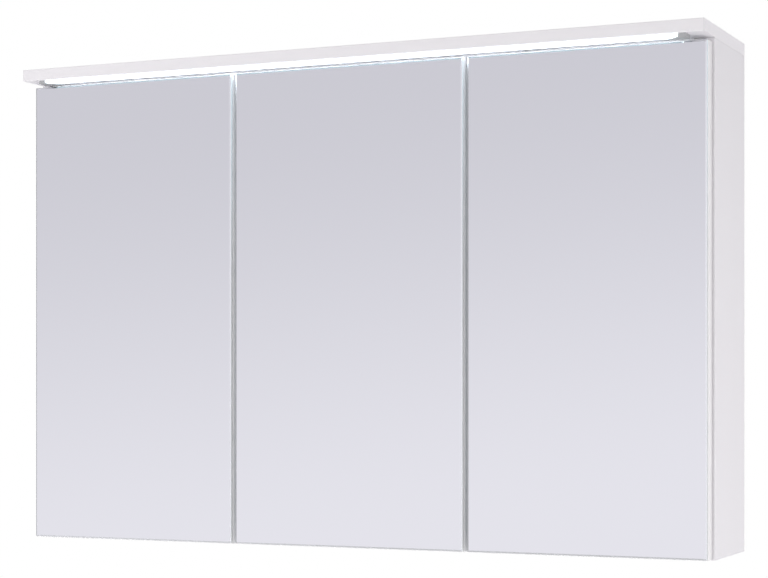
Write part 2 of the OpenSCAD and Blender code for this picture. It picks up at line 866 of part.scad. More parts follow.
// A gooseneck: eye, neck across the cup, bend, then back into the carcass
module hinge_arms() {
    color(steel) placed() for (side = [0 : 2]) at_hinges(side) difference() {
        union() {
            translate([pin_u, pin_v, 0]) cylinder(r = eye_r, h = arm_w, center = true);
            block([pin_u, pin_v - arm_t / 2, -arm_w / 2],
                [arm_u + arm_t / 2, pin_v + arm_t / 2, arm_w / 2]);
            block([arm_u - arm_t / 2, pin_v - arm_t / 2, -arm_w / 2],
                [arm_u + arm_t / 2, arm_end_v, arm_w / 2]);
        }
        translate([pin_u, pin_v, 0]) cylinder(r = pin_r + pin_clear, h = 2 * arm_w, center = true);
        for (v = arm_screws) along_x([arm_u - arm_t, plate_mid_v + v, 0], arm_hole_r, 2 * arm_t);
    }
}

// The mounting plate: a winged base on the panel and a rib that carries the arm
module hinge_plates() {
    color(steel) placed() for (side = [0 : 2]) at_hinges(side) difference() {
        u = face_u(side);
        union() {
            block([u, plate_v, -arm_w / 2], [arm_u - arm_t / 2, plate_v + plate_len, arm_w / 2]);
            block([u, plate_mid_v - plate_wing, -plate_w / 2],
                [u + plate_base_t, plate_mid_v + plate_wing, plate_w / 2]);
        }
        for (s = [-1, 1]) along_x([u - overcut, plate_mid_v, s * plate_screw_out],
            plate_screw_r + hole_clear, plate_base_t + 2 * overcut);
        for (v = arm_screws) along_x([arm_u - arm_t / 2 - arm_screw_in - blind_gap, plate_mid_v + v, 0],
            arm_screw_r + hole_clear, arm_screw_in + blind_gap + overcut);
    }
}

// The mounting plate's screws, drawn from the plate's top towards the panel
module at_plate_screws(side) {
    at_hinges(side) for (s = [-1, 1])
        translate([face_u(side), plate_mid_v, s * plate_screw_out]) rotate([0, 90, 0])
            children();
}

module plate_screws() {
    color(zinc) placed() {
        for (side = [0 : 2]) at_plate_screws(side) {
            translate([0, 0, -plate_screw_len])
                cylinder(r = plate_screw_r, h = plate_screw_len + plate_base_t);
            translate([0, 0, plate_base_t]) screw_head(plate_screw_head_r, plate_screw_head_h);
        }
        // The arm's fixing and adjusting screws
        for (side = [0 : 2]) at_hinges(side) for (v = arm_screws)
            translate([arm_u + arm_t / 2, plate_mid_v + v, 0]) rotate([0, 90, 0]) {
                translate([0, 0, -arm_t - arm_screw_in])
                    cylinder(r = arm_screw_r, h = arm_t + arm_screw_in);
                screw_head(arm_screw_head_r, arm_screw_head_h);
            }
    }
}

// Light bar

module led_profile() {
    color(plastic_grey) placed() difference() {
        block([-led_half, led_y0, case_h], [led_half, led_y1, case_h + led_h]);
        block([-led_half - overcut, led_y0 + led_wall, case_h - overcut],
            [led_half + overcut, led_y1 - led_wall, case_h + led_h - led_wall]);
        along_y([lead_x, led_y1 - led_wall - overcut, lead_z], lead_hole_r, led_wall + 2 * overcut);
    }
}

module led_strip() {
    z1 = case_h + led_h - led_wall;
    y = (led_y0 + led_y1) / 2;
    color("white") placed() {
        block([-led_half + strip_end, y - strip_w / 2, z1 - strip_t],
            [led_half - strip_end, y + strip_w / 2, z1]);
        for (i = [-chip_n : chip_n])
            block([i * chip_pitch - chip / 2, y - chip / 2, z1 - strip_t - chip_t],
                [i * chip_pitch + chip / 2, y + chip / 2, z1 - strip_t]);
    }
}

// The opal cover: a slightly curved face below the board and two legs in the profile
module led_diffuser() {
    y = (led_y0 + led_y1) / 2;
    z0 = case_h - led_out;
    leg = led_y0 + led_wall + diffuser_clear;
    color(opal) placed() {
        difference() {
            intersection() {
                block([-led_half, led_y0, z0], [led_half, led_y1, case_h - diffuser_clear]);
                along_x([-led_half, y, z0 + led_curve], led_curve, led_len, $fn = 96);
            }
            block([-led_half - overcut, led_y0 + diffuser_t, z0 + diffuser_t],
                [led_half + overcut, led_y1 - diffuser_t, case_h]);
        }
        for (s = [0, 1]) translate([0, y, 0]) mirror([0, s, 0]) translate([0, -y, 0])
            block([-led_half, leg, z0 + diffuser_t / 2],
                [led_half, leg + diffuser_leg, case_h + diffuser_leg_h]);
    }
}

module led_end_caps() {
    color(plastic_grey) placed() for (s = [-1, 1])
        block([min(s * led_half, s * (led_half + led_cap)), led_y0, case_h - led_out],
            [max(s * led_half, s * (led_half + led_cap)), led_y1, case_h + led_h]);
}

module at_driver_screws() {
    for (x = [driver_x0 - driver_ear / 2, driver_x1 + driver_ear / 2])
        translate([x, driver_mid_y, case_h]) children();
}

module led_driver() {
    color(plastic_white) placed() difference() {
        union() {
            panel([driver_x0, driver_y0, driver_z0], [driver_x1, driver_y1, case_h], driver_c);
            block([driver_x0 - driver_ear, driver_mid_y - driver_ear_w / 2, case_h - driver_ear_t],
                [driver_x1 + driver_ear, driver_mid_y + driver_ear_w / 2, case_h]);
        }
        at_driver_screws() translate([0, 0, -driver_ear_t - overcut])
            cylinder(r = driver_screw_r + hole_clear, h = driver_ear_t + 2 * overcut);
    }
}

module driver_screws() {
    color(zinc) placed() at_driver_screws() translate([0, 0, -driver_ear_t]) {
        cylinder(r = driver_screw_r, h = driver_ear_t + driver_screw_in);
        mirror([0, 0, 1]) screw_head(driver_screw_head_r, driver_screw_head_h);
    }
}

// From the profile back along the top board's slot, then down into the driver
module led_lead() {
    color("white") placed() lead_run([[lead_x, led_y1 - led_wall, lead_z],
        [lead_x, driver_lead_y, lead_z],
        [lead_x, driver_lead_y, lead_down_z],
        [lead_x, driver_y0, lead_down_z]], lead_r);
}

// Switch box with a socket and a rocker switch

module switch_box() {
    opening_x = rocker_w / 2 + rocker_gap;
    opening_z = rocker_h / 2 + rocker_gap;
    color(plastic_white) placed() difference() {
        union() {
            difference() {
                panel([box_x0, box_y0, box_z0], [box_x1, back_y, box_z1], box_c);
                block([box_x0 + box_wall, box_y0 + box_wall, box_z0 + box_wall],
                    [box_x1 - box_wall, back_y + overcut, box_z1 - box_wall]);
            }
            block([rocker_x - opening_x - rocker_cheek, box_y0 + cheek_in, rocker_z - opening_z],
                [rocker_x + opening_x + rocker_cheek, box_y0 + cheek_d, rocker_z + opening_z]);
        }
        block([rocker_x - opening_x, box_y0 - overcut, rocker_z - opening_z],
            [rocker_x + opening_x, box_y0 + cheek_d + overcut, rocker_z + opening_z]);
        along_x([rocker_x - opening_x - rocker_cheek, rocker_pivot_y, rocker_z],
            rocker_pin_r + rocker_pin_clear, 2 * (opening_x + rocker_cheek));
        along_y([socket_x, box_y0 - overcut, socket_z], socket_r + socket_wall + hole_clear,
            box_wall + 2 * overcut);
        along_z([down_x, down_y, box_z1 - box_wall - overcut], lead_hole_r, box_wall + 2 * overcut);
    }
}

// A round recess with two pin holes in its floor
module socket_insert() {
    color(plastic_white) placed() difference() {
        union() {
            along_y([socket_x, box_y0, socket_z], socket_r + socket_wall, socket_d + socket_floor);
            along_y([socket_x, box_y0 - socket_lip, socket_z], socket_r + socket_rim, socket_lip);
        }
        along_y([socket_x, box_y0 - socket_lip - overcut, socket_z], socket_r,
            socket_d + socket_lip + overcut);
        for (s = [-1, 1]) along_y([socket_x + s * socket_hole_gap, box_y0, socket_z],
            socket_hole_r, socket_d + socket_floor + overcut);
    }
}

// The rocker is drawn tilted to its off side
module switch_rocker() {
    color(plastic_white) placed() translate([rocker_x, rocker_pivot_y, rocker_z])
        rotate([-rocker_tilt, 0, 0]) {
            intersection() {
                block([-rocker_w / 2, -rocker_front, -rocker_h / 2],
                    [rocker_w / 2, rocker_t - rocker_front, rocker_h / 2]);
                along_x([-rocker_w / 2, rocker_curve - rocker_front, 0], rocker_curve, rocker_w, $fn = 96);
                along_x([-rocker_w / 2, 0, 0], rocker_h / 2, rocker_w, $fn = 96);
            }
            along_x([-rocker_w / 2 - rocker_gap - rocker_pin_out, 0, 0], rocker_pin_r,
                rocker_w + 2 * (rocker_gap + rocker_pin_out));
        }
}

// From the driver along the back panel down into the switch box
module switch_lead() {
    color("white") placed() lead_run([[driver_x1, down_run_y, down_z],
        [down_x, down_run_y, down_z],
        [down_x, down_y, down_z],
        [down_x, down_y, box_z1 - box_wall]], lead_r);
}

// Saddles that hold the lead on the back panel
module lead_clips() {
    color(plastic_white) placed() for (z = clip_zs) translate([down_x, back_y, z]) difference() {
        union() {
            block([-clip_w / 2, -clip_t, -clip_h / 2], [clip_w / 2, 0, clip_h / 2]);
            block([-lead_r - clip_t, -2 * lead_r - lead_gap - clip_t, -clip_h / 2],
                [lead_r + clip_t, 0, clip_h / 2]);
        }
        block([-lead_hole_r, -lead_r - lead_gap, -clip_h], [lead_hole_r, overcut, clip_h]);
        translate([0, -lead_r - lead_gap, 0]) cylinder(r = lead_hole_r, h = 2 * clip_h, center = true);
    }
}

// The inlet of the mains cord in the back panel
module cable_grommet() {
    color(plastic_grey) placed() difference() {
        union() {
            along_y([grommet_x, back_y, grommet_z], grommet_out_r, back_t + grommet_lip_t);
            along_y([grommet_x, back_y + back_t, grommet_z], grommet_lip_r, grommet_lip_t);
            along_y([grommet_x, back_y - grommet_lip_t, grommet_z], grommet_lip_r, grommet_lip_t);
        }
        along_y([grommet_x, back_y - 2 * grommet_lip_t, grommet_z], grommet_r,
            back_t + 4 * grommet_lip_t);
    }
}

// Wall hangers

// Puts both hangers in place: X from the plate's middle, Z from the wall screws' middle
module at_hangers() {
    for (s = [-1, 1]) translate([s * hang_x, 0, 0]) mirror([s < 0 ? 1 : 0, 0, 0]) children();
}

module hanger_peg_holes(s) {
    for (z = peg_zs)
        along_x([s > 0 ? -overcut : -peg_in - blind_gap, back_y - hanger_d + peg_front, hang_h + z],
            peg_r + hole_clear, peg_in + blind_gap + overcut);
}

module hanger_bodies() {
    color(plastic_white) at_hangers() difference() {
        union() {
            panel([hang_inset - hanger_t, back_y - hanger_d, hanger_z0],
                [hang_inset, back_y, hanger_z0 + hanger_h], hanger_c);
            for (z = peg_zs) along_x([hang_inset - overcut, back_y - hanger_d + peg_front, z],
                peg_r, peg_in + overcut);
        }
        block([-hook_w / 2 - hanger_hole_clear, back_y - hook_in - blind_gap,
            hook_z1 - hook_t - hanger_hole_clear],
            [hook_w / 2 + hanger_hole_clear, back_y + overcut, hook_z1 + hanger_hole_clear]);
        for (z = [-1, 1]) along_y([0, back_y - hanger_d - overcut,
            hanger_z0 + hanger_h / 2 + z * adjuster_gap], adjuster_r + hole_clear,
            adjuster_len + overcut);
    }
}

// The steel hook comes through the back panel and drops behind the wall plate's lip
module hanger_hooks() {
    tongue_y = -wall_plate_t - slot_depth / 2;
    color(zinc) at_hangers() {
        block([-hook_w / 2, back_y - hook_in, hook_z1 - hook_t],
            [hook_w / 2, tongue_y + hook_t / 2, hook_z1]);
        block([-hook_w / 2, tongue_y - hook_t / 2, ledge_z + ledge_t],
            [hook_w / 2, tongue_y + hook_t / 2, hook_z1]);
    }
}

module wall_plates() {
    lip_y = -wall_plate_t - slot_depth;
    color(zinc) at_hangers() difference() {
        union() {
            block([-wall_plate_w / 2, -wall_plate_t, -wall_plate_h / 2],
                [wall_plate_w / 2, 0, wall_plate_h / 2]);
            block([-wall_plate_w / 2, lip_y - lip_t, ledge_z],
                [wall_plate_w / 2, -wall_plate_t / 2, ledge_z + ledge_t]);
            block([-wall_plate_w / 2, lip_y - lip_t, ledge_z],
                [wall_plate_w / 2, lip_y, ledge_z + ledge_t + lip_h]);
        }
        for (s = [-1, 1]) along_y([0, -wall_plate_t - overcut, s * screw_gap / 2], screw_r,
            wall_plate_t + 2 * overcut);
    }
}

module hanger_screws() {
    color(zinc) at_hangers() for (z = [-1, 1])
        translate([0, back_y - hanger_d, hanger_z0 + hanger_h / 2 + z * adjuster_gap])
            rotate([-90, 0, 0]) difference() {
                cylinder(r = adjuster_r, h = adjuster_len);
                for (a = [0, 90]) rotate([0, 0, a])
                    cube([1.4 * adjuster_r, adjuster_slot_w, 2 * adjuster_slot_d], center = true);
            }
}

top_board();
left_side_panel();
right_side_panel();
bottom_panel();
left_partition();
right_partition();
back_panel();
top_rails();
left_upper_shelf();
left_lower_shelf();
middle_upper_shelf();
middle_lower_shelf();
right_upper_shelf();
right_lower_shelf();
shelf_pins();
cam_locks();
cam_bolts();
wood_dowels();
partition_screws();
left_door_board();
left_door_mirror();
left_mirror_tape();
left_hinge_cups();
left_hinge_pins();
left_cup_screws();
left_door_bumpers();
middle_door_board();
middle_door_mirror();
middle_mirror_tape();
middle_hinge_cups();
middle_hinge_pins();
middle_cup_screws();
middle_door_bumpers();
right_door_board();
right_door_mirror();
right_mirror_tape();
right_hinge_cups();
right_hinge_pins();
right_cup_screws();
right_door_bumpers();
hinge_arms();
hinge_plates();
plate_screws();
led_profile();
led_strip();
led_diffuser();
led_end_caps();
led_driver();
driver_screws();
led_lead();
switch_box();
socket_insert();
switch_rocker();
switch_lead();
lead_clips();
cable_grommet();
hanger_bodies();
hanger_hooks();
wall_plates();
hanger_screws();
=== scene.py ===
# Bathroom mirror cabinet with a light bar: studio, finishes and small fittings
import bpy
import json
import math
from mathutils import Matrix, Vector


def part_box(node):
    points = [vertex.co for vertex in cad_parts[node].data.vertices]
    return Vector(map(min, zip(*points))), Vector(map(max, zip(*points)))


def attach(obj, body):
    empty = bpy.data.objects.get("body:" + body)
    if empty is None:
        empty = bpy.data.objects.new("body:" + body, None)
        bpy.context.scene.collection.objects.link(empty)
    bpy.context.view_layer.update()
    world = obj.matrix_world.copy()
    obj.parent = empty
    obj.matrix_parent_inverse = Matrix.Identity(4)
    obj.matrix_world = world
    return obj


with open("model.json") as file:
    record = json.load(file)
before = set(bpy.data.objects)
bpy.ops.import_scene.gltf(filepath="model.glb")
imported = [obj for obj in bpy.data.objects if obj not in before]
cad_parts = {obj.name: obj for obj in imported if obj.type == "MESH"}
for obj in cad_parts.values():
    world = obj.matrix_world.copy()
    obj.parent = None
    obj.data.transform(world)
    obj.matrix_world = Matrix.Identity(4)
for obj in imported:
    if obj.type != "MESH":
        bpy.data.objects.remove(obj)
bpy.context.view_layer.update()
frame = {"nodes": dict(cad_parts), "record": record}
nodes = frame["nodes"]
bpy.ops.object.select_all(action="DESELECT")
print("frame loaded,", len(nodes), "nodes")


camera = {
    "place": (1.1276, -2.5818, -0.378),
    "turn": (90.0, 0.0, 24.026),  # level, so that upright edges stay upright
    "lens": 92.42,
    "sensor": 36.0,
    "rise": 0.1266,               # the view is shifted up by this share of its width
    "farthest": 100.0,
}


def setCamera(values):
    data = bpy.data.cameras.new("studioCamera")
    data.lens = values["lens"]
    data.sensor_width = values["sensor"]
    data.shift_y = values["rise"]
    data.clip_end = values["farthest"]
    eye = bpy.data.objects.new("studioCamera", data)
    eye.location = values["place"]
    eye.rotation_euler = [math.radians(a) for a in values["turn"]]
    bpy.context.scene.collection.objects.link(eye)
    bpy.context.scene.camera = eye


def addNode(tree, kind, sockets=None, **settings):
    # each socket gets a plain value or a link from another node
    made = tree.nodes.new("ShaderNode" + kind)
    for key, value in settings.items():
        setattr(made, key, value)
    for key, value in (sockets or {}).items():
        if isinstance(value, bpy.types.NodeSocket):
            tree.links.new(value, made.inputs[key])
        else:
            made.inputs[key].default_value = value
    return made


def feed(tree, shader, sockets):
    for key, value in sockets.items():
        tree.links.new(value, shader.inputs[key])


def objectPlace(tree, stretch=(1, 1, 1), centre=(0, 0, 0)):
    spot = addNode(tree, "TexCoord").outputs["Object"]
    shift = [-c * s for c, s in zip(centre, stretch)]
    moved = addNode(tree, "Mapping", {"Vector": spot, "Location": shift, "Scale": stretch})
    return moved.outputs["Vector"]


def axes(tree, vector):
    return addNode(tree, "SeparateXYZ", {0: vector}).outputs


def facing(tree):
    # which way the surface looks, axis by axis
    return axes(tree, addNode(tree, "TexCoord").outputs["Normal"])


def sums(tree, operation, *values):
    return addNode(tree, "Math", dict(enumerate(values)), operation=operation).outputs[0]


faceOn = 0.9  # past this share of its normal a surface looks along an axis


def squareTo(tree, axis):
    # 1 where the surface looks along an axis, either way
    return sums(tree, "GREATER_THAN", sums(tree, "ABSOLUTE", facing(tree)[axis]), faceOn)


def cloud(tree, place, size, detail=2.0, rough=0.5):
    sockets = {"Vector": place, "Scale": 1.0 / size, "Detail": detail, "Roughness": rough}
    return addNode(tree, "TexNoise", sockets).outputs["Fac"]


def spread(tree, factor, low, high, start=0.0, end=1.0, kind="LINEAR"):
    # the factor's range from start to end is drawn out to run from low to high
    sockets = {"Value": factor, "From Min": start, "From Max": end, "To Min": low, "To Max": high}
    return addNode(tree, "MapRange", sockets, interpolation_type=kind).outputs["Result"]


def blendValue(tree, factor, first, second):
    return addNode(tree, "Mix", {0: factor, 2: first, 3: second}).outputs[0]


def blendColour(tree, factor, first, second):
    ends = [c if isinstance(c, bpy.types.NodeSocket) else (*c, 1.0) for c in (first, second)]
    return addNode(tree, "Mix", {0: factor, 6: ends[0], 7: ends[1]}, data_type="RGBA").outputs[2]


def blendShader(tree, factor, first, second):
    return addNode(tree, "MixShader", {0: factor, 1: first, 2: second}).outputs[0]


def shaded(colour, share):
    return [min(c * share, 1.0) for c in colour]


def tones(tree, factor, colour, low, high=1.0):
    # a colour that wavers between two shades of itself
    return blendColour(tree, factor, shaded(colour, low), shaded(colour, high))


def dents(tree, shader, height, depth):
    bump = addNode(tree, "Bump", {"Height": height, "Distance": depth, "Strength": 1.0})
    feed(tree, shader, {"Normal": bump.outputs["Normal"]})


def startFinish(name, fixed):
    material = bpy.data.materials.new(name)
    material.use_nodes = True
    tree = material.node_tree
    shader = tree.nodes["Principled BSDF"]
    for key, value in fixed.items():
        shader.inputs[key].default_value = value
    return material, tree, shader


def dress(thing, material):
    thing.data.materials.clear()
    thing.data.materials.append(material)


plainWhite = (1.0, 1.0, 1.0, 1.0)
studio = {
    "air": 0.50,                         # plain light on the object from all round
    "highCard": (0.640, 0.633, 0.690),   # what the mirrors see above
    "lowCard": (0.830, 0.822, 0.880),    # and below
    "cardTilt": 7.8,                     # degrees
    "cardTop": 0.221,
    "cardFoot": -0.031,
    "dimFrom": -0.62,                    # the card darkens to the left of this
    "dimTo": -0.90,
    "dimShare": 0.46,
    "floorLevel": -1.30,
    "floorSize": 9.0,
    "floorColour": (0.80, 0.80, 0.80),
    "floorFade": (0.7, 2.2),             # it turns white between these distances from the cabinet
}


def makeWorld(values):
    world = bpy.data.worlds.new("studioWorld")
    bpy.context.scene.world = world
    world.use_nodes = True
    tree = world.node_tree
    air = tree.nodes["Background"]
    air.inputs["Color"].default_value = plainWhite
    air.inputs["Strength"].default_value = values["air"]
    backdrop = addNode(tree, "Background", {"Color": plainWhite, "Strength": 1.0})
    look = addNode(tree, "TexCoord").outputs["Generated"]
    tilt = (0.0, math.radians(values["cardTilt"]), 0.0)
    tilted = addNode(tree, "Mapping", {"Vector": look, "Rotation": tilt}).outputs["Vector"]
    height = axes(tree, tilted)["Z"]
    rise = spread(tree, height, 0.0, 1.0, values["cardFoot"], values["cardTop"], "SMOOTHSTEP")
    across = axes(tree, look)["X"]
    dim = spread(tree, across, values["dimShare"], 1.0, values["dimTo"], values["dimFrom"], "SMOOTHSTEP")
    cardColour = blendColour(tree, rise, values["lowCard"], values["highCard"])
    card = addNode(tree, "Background", {"Color": cardColour, "Strength": dim})
    rays = addNode(tree, "LightPath").outputs
    seen = sums(tree, "MAXIMUM", rays["Is Camera Ray"], rays["Is Transmission Ray"])
    mirrored = blendShader(tree, rays["Is Glossy Ray"], air.outputs[0], card.outputs[0])
    whole = blendShader(tree, seen, mirrored, backdrop.outputs[0])
    tree.links.new(whole, tree.nodes["World Output"].inputs["Surface"])


def makeFloor(values):
    bpy.ops.mesh.primitive_plane_add(size=values["floorSize"], location=(0, 0, values["floorLevel"]))
    floor = bpy.context.object
    floor.name = "studioFloor"
    material, tree, shader = startFinish("paleFloor", {"Roughness": 0.9, "Specular IOR Level": 0.1})
    shader.inputs["Base Color"].default_value = (*values["floorColour"], 1.0)
    spot = addNode(tree, "TexCoord").outputs["Object"]
    away = addNode(tree, "VectorMath", {0: spot}, operation="LENGTH").outputs["Value"]
    fade = spread(tree, away, 0.0, 1.0, *values["floorFade"], "SMOOTHSTEP")
    rays = addNode(tree, "LightPath").outputs
    seen, mirrored = rays["Is Camera Ray"], rays["Is Glossy Ray"]
    blank = addNode(tree, "Emission", {"Color": plainWhite, "Strength": 1.0}).outputs[0]
    faded = blendShader(tree, sums(tree, "MULTIPLY", fade, seen), shader.outputs[0], blank)
    # from below it isn't seen, and far out the mirrors show the card in its place
    backwards = addNode(tree, "NewGeometry").outputs["Backfacing"]
    under = sums(tree, "MULTIPLY", backwards, sums(tree, "MAXIMUM", seen, mirrored))
    hidden = sums(tree, "MAXIMUM", under, sums(tree, "MULTIPLY", fade, mirrored))
    clear = addNode(tree, "BsdfTransparent").outputs[0]
    whole = blendShader(tree, hidden, faded, clear)
    tree.links.new(whole, tree.nodes["Material Output"].inputs["Surface"])
    dress(floor, material)


cabinetMiddle = (0.0, -0.1, -0.27)
softbox = (1.2, 0.55)
lamps = {
    "besideCamera": {"place": (1.437, -3.081, -0.90), "aim": cabinetMiddle, "size": softbox,
                     "power": 19.5, "tint": (1.0, 1.0, 0.985)},
    "rightLow": {"place": (2.318, -0.621, -1.00), "aim": cabinetMiddle, "size": softbox,
                 "power": 16.3, "tint": (1.0, 0.998, 0.985)},
    "leftFront": {"place": (-1.671, -1.992, -0.70), "aim": cabinetMiddle, "size": softbox,
                  "power": 24.0, "tint": (1.0, 0.998, 1.0)},
    "behind": {"place": (0.6, 2.6, 0.5), "aim": (0.0, 0.0, -0.27), "size": (1.6, 1.6),
               "power": 30.0, "tint": (1.0, 1.0, 1.0)},
    "above": {"place": (-0.35, 0.55, 2.2), "aim": (-0.1, 0.1, 0.0), "size": (0.9, 0.9),
              "power": 12.0, "tint": (1.0, 1.0, 1.0)},
    "leftFar": {"place": (-2.3, 0.40, -0.1), "aim": (-0.5, -0.05, -0.27), "size": softbox,
                "power": 9.0, "tint": (1.0, 1.0, 1.0)},
    # what the light bar sheds backwards into the gap over the doors
    "barRear": {"place": (0.0, -0.1804, 0.0578), "aim": (0.0, 0.0, 0.0578), "size": (0.93, 0.003),
                "power": 0.07, "tint": (0.90, 0.97, 1.0)},
}


def makeLamp(name, values):
    data = bpy.data.lights.new(name, "AREA")
    data.shape = "RECTANGLE"
    data.size, data.size_y = values["size"]
    data.energy = values["power"]
    data.color = values["tint"]
    lamp = bpy.data.objects.new(name, data)
    lamp.location = values["place"]
    way = Vector(values["aim"]) - Vector(values["place"])
    lamp.rotation_euler = way.to_track_quat("-Z", "Y").to_euler()
    lamp.visible_glossy = False  # the mirrors show the soft card, not the lamp
    bpy.context.scene.collection.objects.link(lamp)


bpy.context.scene.view_settings.view_transform = "Standard"
setCamera(camera)
makeWorld(studio)
makeFloor(studio)
for lampName, lampValues in lamps.items():
    makeLamp(lampName, lampValues)
print("studio ready")


melamine = {
    "white": (0.800, 0.777, 0.806),
    "door": (0.815, 0.797, 0.815),
    # the side panels' white is painted darker than the top board's: painted shade
    "side": (0.775, 0.753, 0.781),
    "inner": (0.760, 0.745, 0.765),
    # the rails' white is painted lighter: painted light in the shaded gap over the doors
    "rail": (0.880, 0.866, 0.872),
    "toneSize": 0.25,        # its tone wavers a little over this distance
    "tones": (0.985, 1.01),
    "pearl": 0.0006,         # size of the surface's fine texture
    "pearlDepth": 0.00003,
    "gloss": (0.33, 0.42),
    "fleckShade": 0.93,
    "fleckShare": 0.35,
    "fleckRange": (0.35, 0.7),
    "band": 0.0010,          # thickness of the edge band
    "bandShade": 1.02,
    "seam": 0.00014,         # half the width of its glue line
    "seamShade": 0.70,
    "paintedGapGlow": 0.05,        # painted light: the white door edges glow faintly in the gaps between the doors
    "paintedGapTint": (0.80, 0.97, 1.0),
    "gapEnd": 0.45,          # no gap lies farther out than this
}


def boardFinish(name, colour, low, high):
    centre = [(a + b) / 2 for a, b in zip(low, high)]
    half = [(b - a) / 2 for a, b in zip(low, high)]
    material, tree, shader = startFinish(name, {"Specular IOR Level": 0.45})
    pearl = cloud(tree, objectPlace(tree), melamine["pearl"], detail=1.0)
    broad = cloud(tree, objectPlace(tree), melamine["toneSize"], detail=3.0)
    tone = tones(tree, broad, colour, *melamine["tones"])
    fleck = spread(tree, pearl, 0.0, melamine["fleckShare"], *melamine["fleckRange"])
    face = blendColour(tree, fleck, tone, shaded(colour, melamine["fleckShade"]))
    # an edge band and its glue line run round the board wherever its rim shows
    centred = objectPlace(tree, centre=centre)
    offset = axes(tree, addNode(tree, "VectorMath", {0: centred}, operation="ABSOLUTE").outputs[0])
    thin = half.index(min(half))
    seam, band = 0.0, 0.0
    for axis in range(3):
        if axis == thin:
            continue
        depth = sums(tree, "SUBTRACT", half[axis], offset[axis])
        line = sums(tree, "COMPARE", depth, melamine["band"], melamine["seam"])
        seam = sums(tree, "MAXIMUM", seam, line)
        band = sums(tree, "MAXIMUM", band, sums(tree, "LESS_THAN", depth, melamine["band"]))
    edged = blendColour(tree, band, face, shaded(colour, melamine["bandShade"]))
    lined = blendColour(tree, seam, edged, shaded(colour, melamine["seamShade"]))
    feed(tree, shader, {"Base Color": lined, "Roughness": spread(tree, pearl, *melamine["gloss"])})
    dents(tree, shader, pearl, melamine["pearlDepth"])
    return material


def doorFinish(name, low, high):
    material = boardFinish(name, melamine["door"], low, high)
    tree = material.node_tree
    shader = tree.nodes["Principled BSDF"]
    # painted light: the door's sideways-facing edges near the gaps glow faintly, standing in for light thrown
    # about in the gaps
    across = sums(tree, "ABSOLUTE", axes(tree, objectPlace(tree))["X"])
    between = sums(tree, "LESS_THAN", across, melamine["gapEnd"])
    edge = sums(tree, "MULTIPLY", squareTo(tree, "X"), between)
    shader.inputs["Emission Color"].default_value = (*melamine["paintedGapTint"], 1.0)
    feed(tree, shader, {"Emission Strength": sums(tree, "MULTIPLY", edge, melamine["paintedGapGlow"])})
    return material


hardboard = {
    "raw": (0.30, 0.19, 0.105),
    "fibre": (0.40, 0.27, 0.155),
    "fibreSize": 0.0012,
    "depth": 0.00008,
    "stain": (0.27, 0.165, 0.088),
    "stainSize": 0.14,
    "stainShare": 0.55,
    "stainRange": (0.42, 0.72),
    "foilShade": 0.96,
    "rough": (0.85, 0.4),  # of the raw back and the foiled front
}


def backFinish():
    material, tree, shader = startFinish("foiledHardboard", {"Specular IOR Level": 0.3})
    foil = sums(tree, "LESS_THAN", facing(tree)["Y"], -faceOn)
    place = objectPlace(tree)
    fibres = cloud(tree, place, hardboard["fibreSize"], detail=4.0, rough=0.7)
    brown = blendColour(tree, fibres, hardboard["raw"], hardboard["fibre"])
    patches = cloud(tree, place, hardboard["stainSize"], detail=4.0, rough=0.6)
    stain = spread(tree, patches, 0.0, hardboard["stainShare"], *hardboard["stainRange"])
    back = blendColour(tree, stain, brown, hardboard["stain"])
    sheen = cloud(tree, place, melamine["pearl"], detail=1.0)
    front = tones(tree, sheen, melamine["inner"], hardboard["foilShade"])
    feed(tree, shader, {"Base Color": blendColour(tree, foil, back, front),
                        "Roughness": spread(tree, foil, *hardboard["rough"])})
    dents(tree, shader, fibres, hardboard["depth"])
    return material


mirror = {
    "silver": (0.935, 0.937, 0.945),
    "front": -0.97,                   # the mirror's face looks forwards more than this,
    "silvered": -0.3,                 # and the bevel round it more than this
    "slope": 0.3,                     # its top and foot also look up or down more than this
    "arris": (0.90, 0.912, 0.93),     # the ground bevel, with the silver behind it
    "paintedShadeTopArris": (0.25, 0.28, 0.29),   # painted shade: the top bevel is darkened where it lies under the light bar, dimming the bar's reflection there
    "paintedShadeFootArris": (0.73, 0.74, 0.77),  # painted shade: darker at the foot, and at the top beyond the bar's ends
    "barEnd": (0.462, 0.467),         # the painted shade under the light bar ends between these
    "arrisPolish": 0.80,
    "rim": (0.74, 0.775, 0.785),
    "rimShade": 0.9,
    "groundSize": 0.0007,
    "groundRough": (0.12, 0.22),
    "smudgeSize": 0.12,
    "smudgeRough": (0.0, 0.006),
    "paintedRimGlow": (0.50, 0.82, 1.0),    # painted light: a glow on the glass edges in the light bar's colour
    "light": 0.22,
    "paintedGlowRange": (-0.26, 0.054),     # the heights where it has faded out and where it is full
}


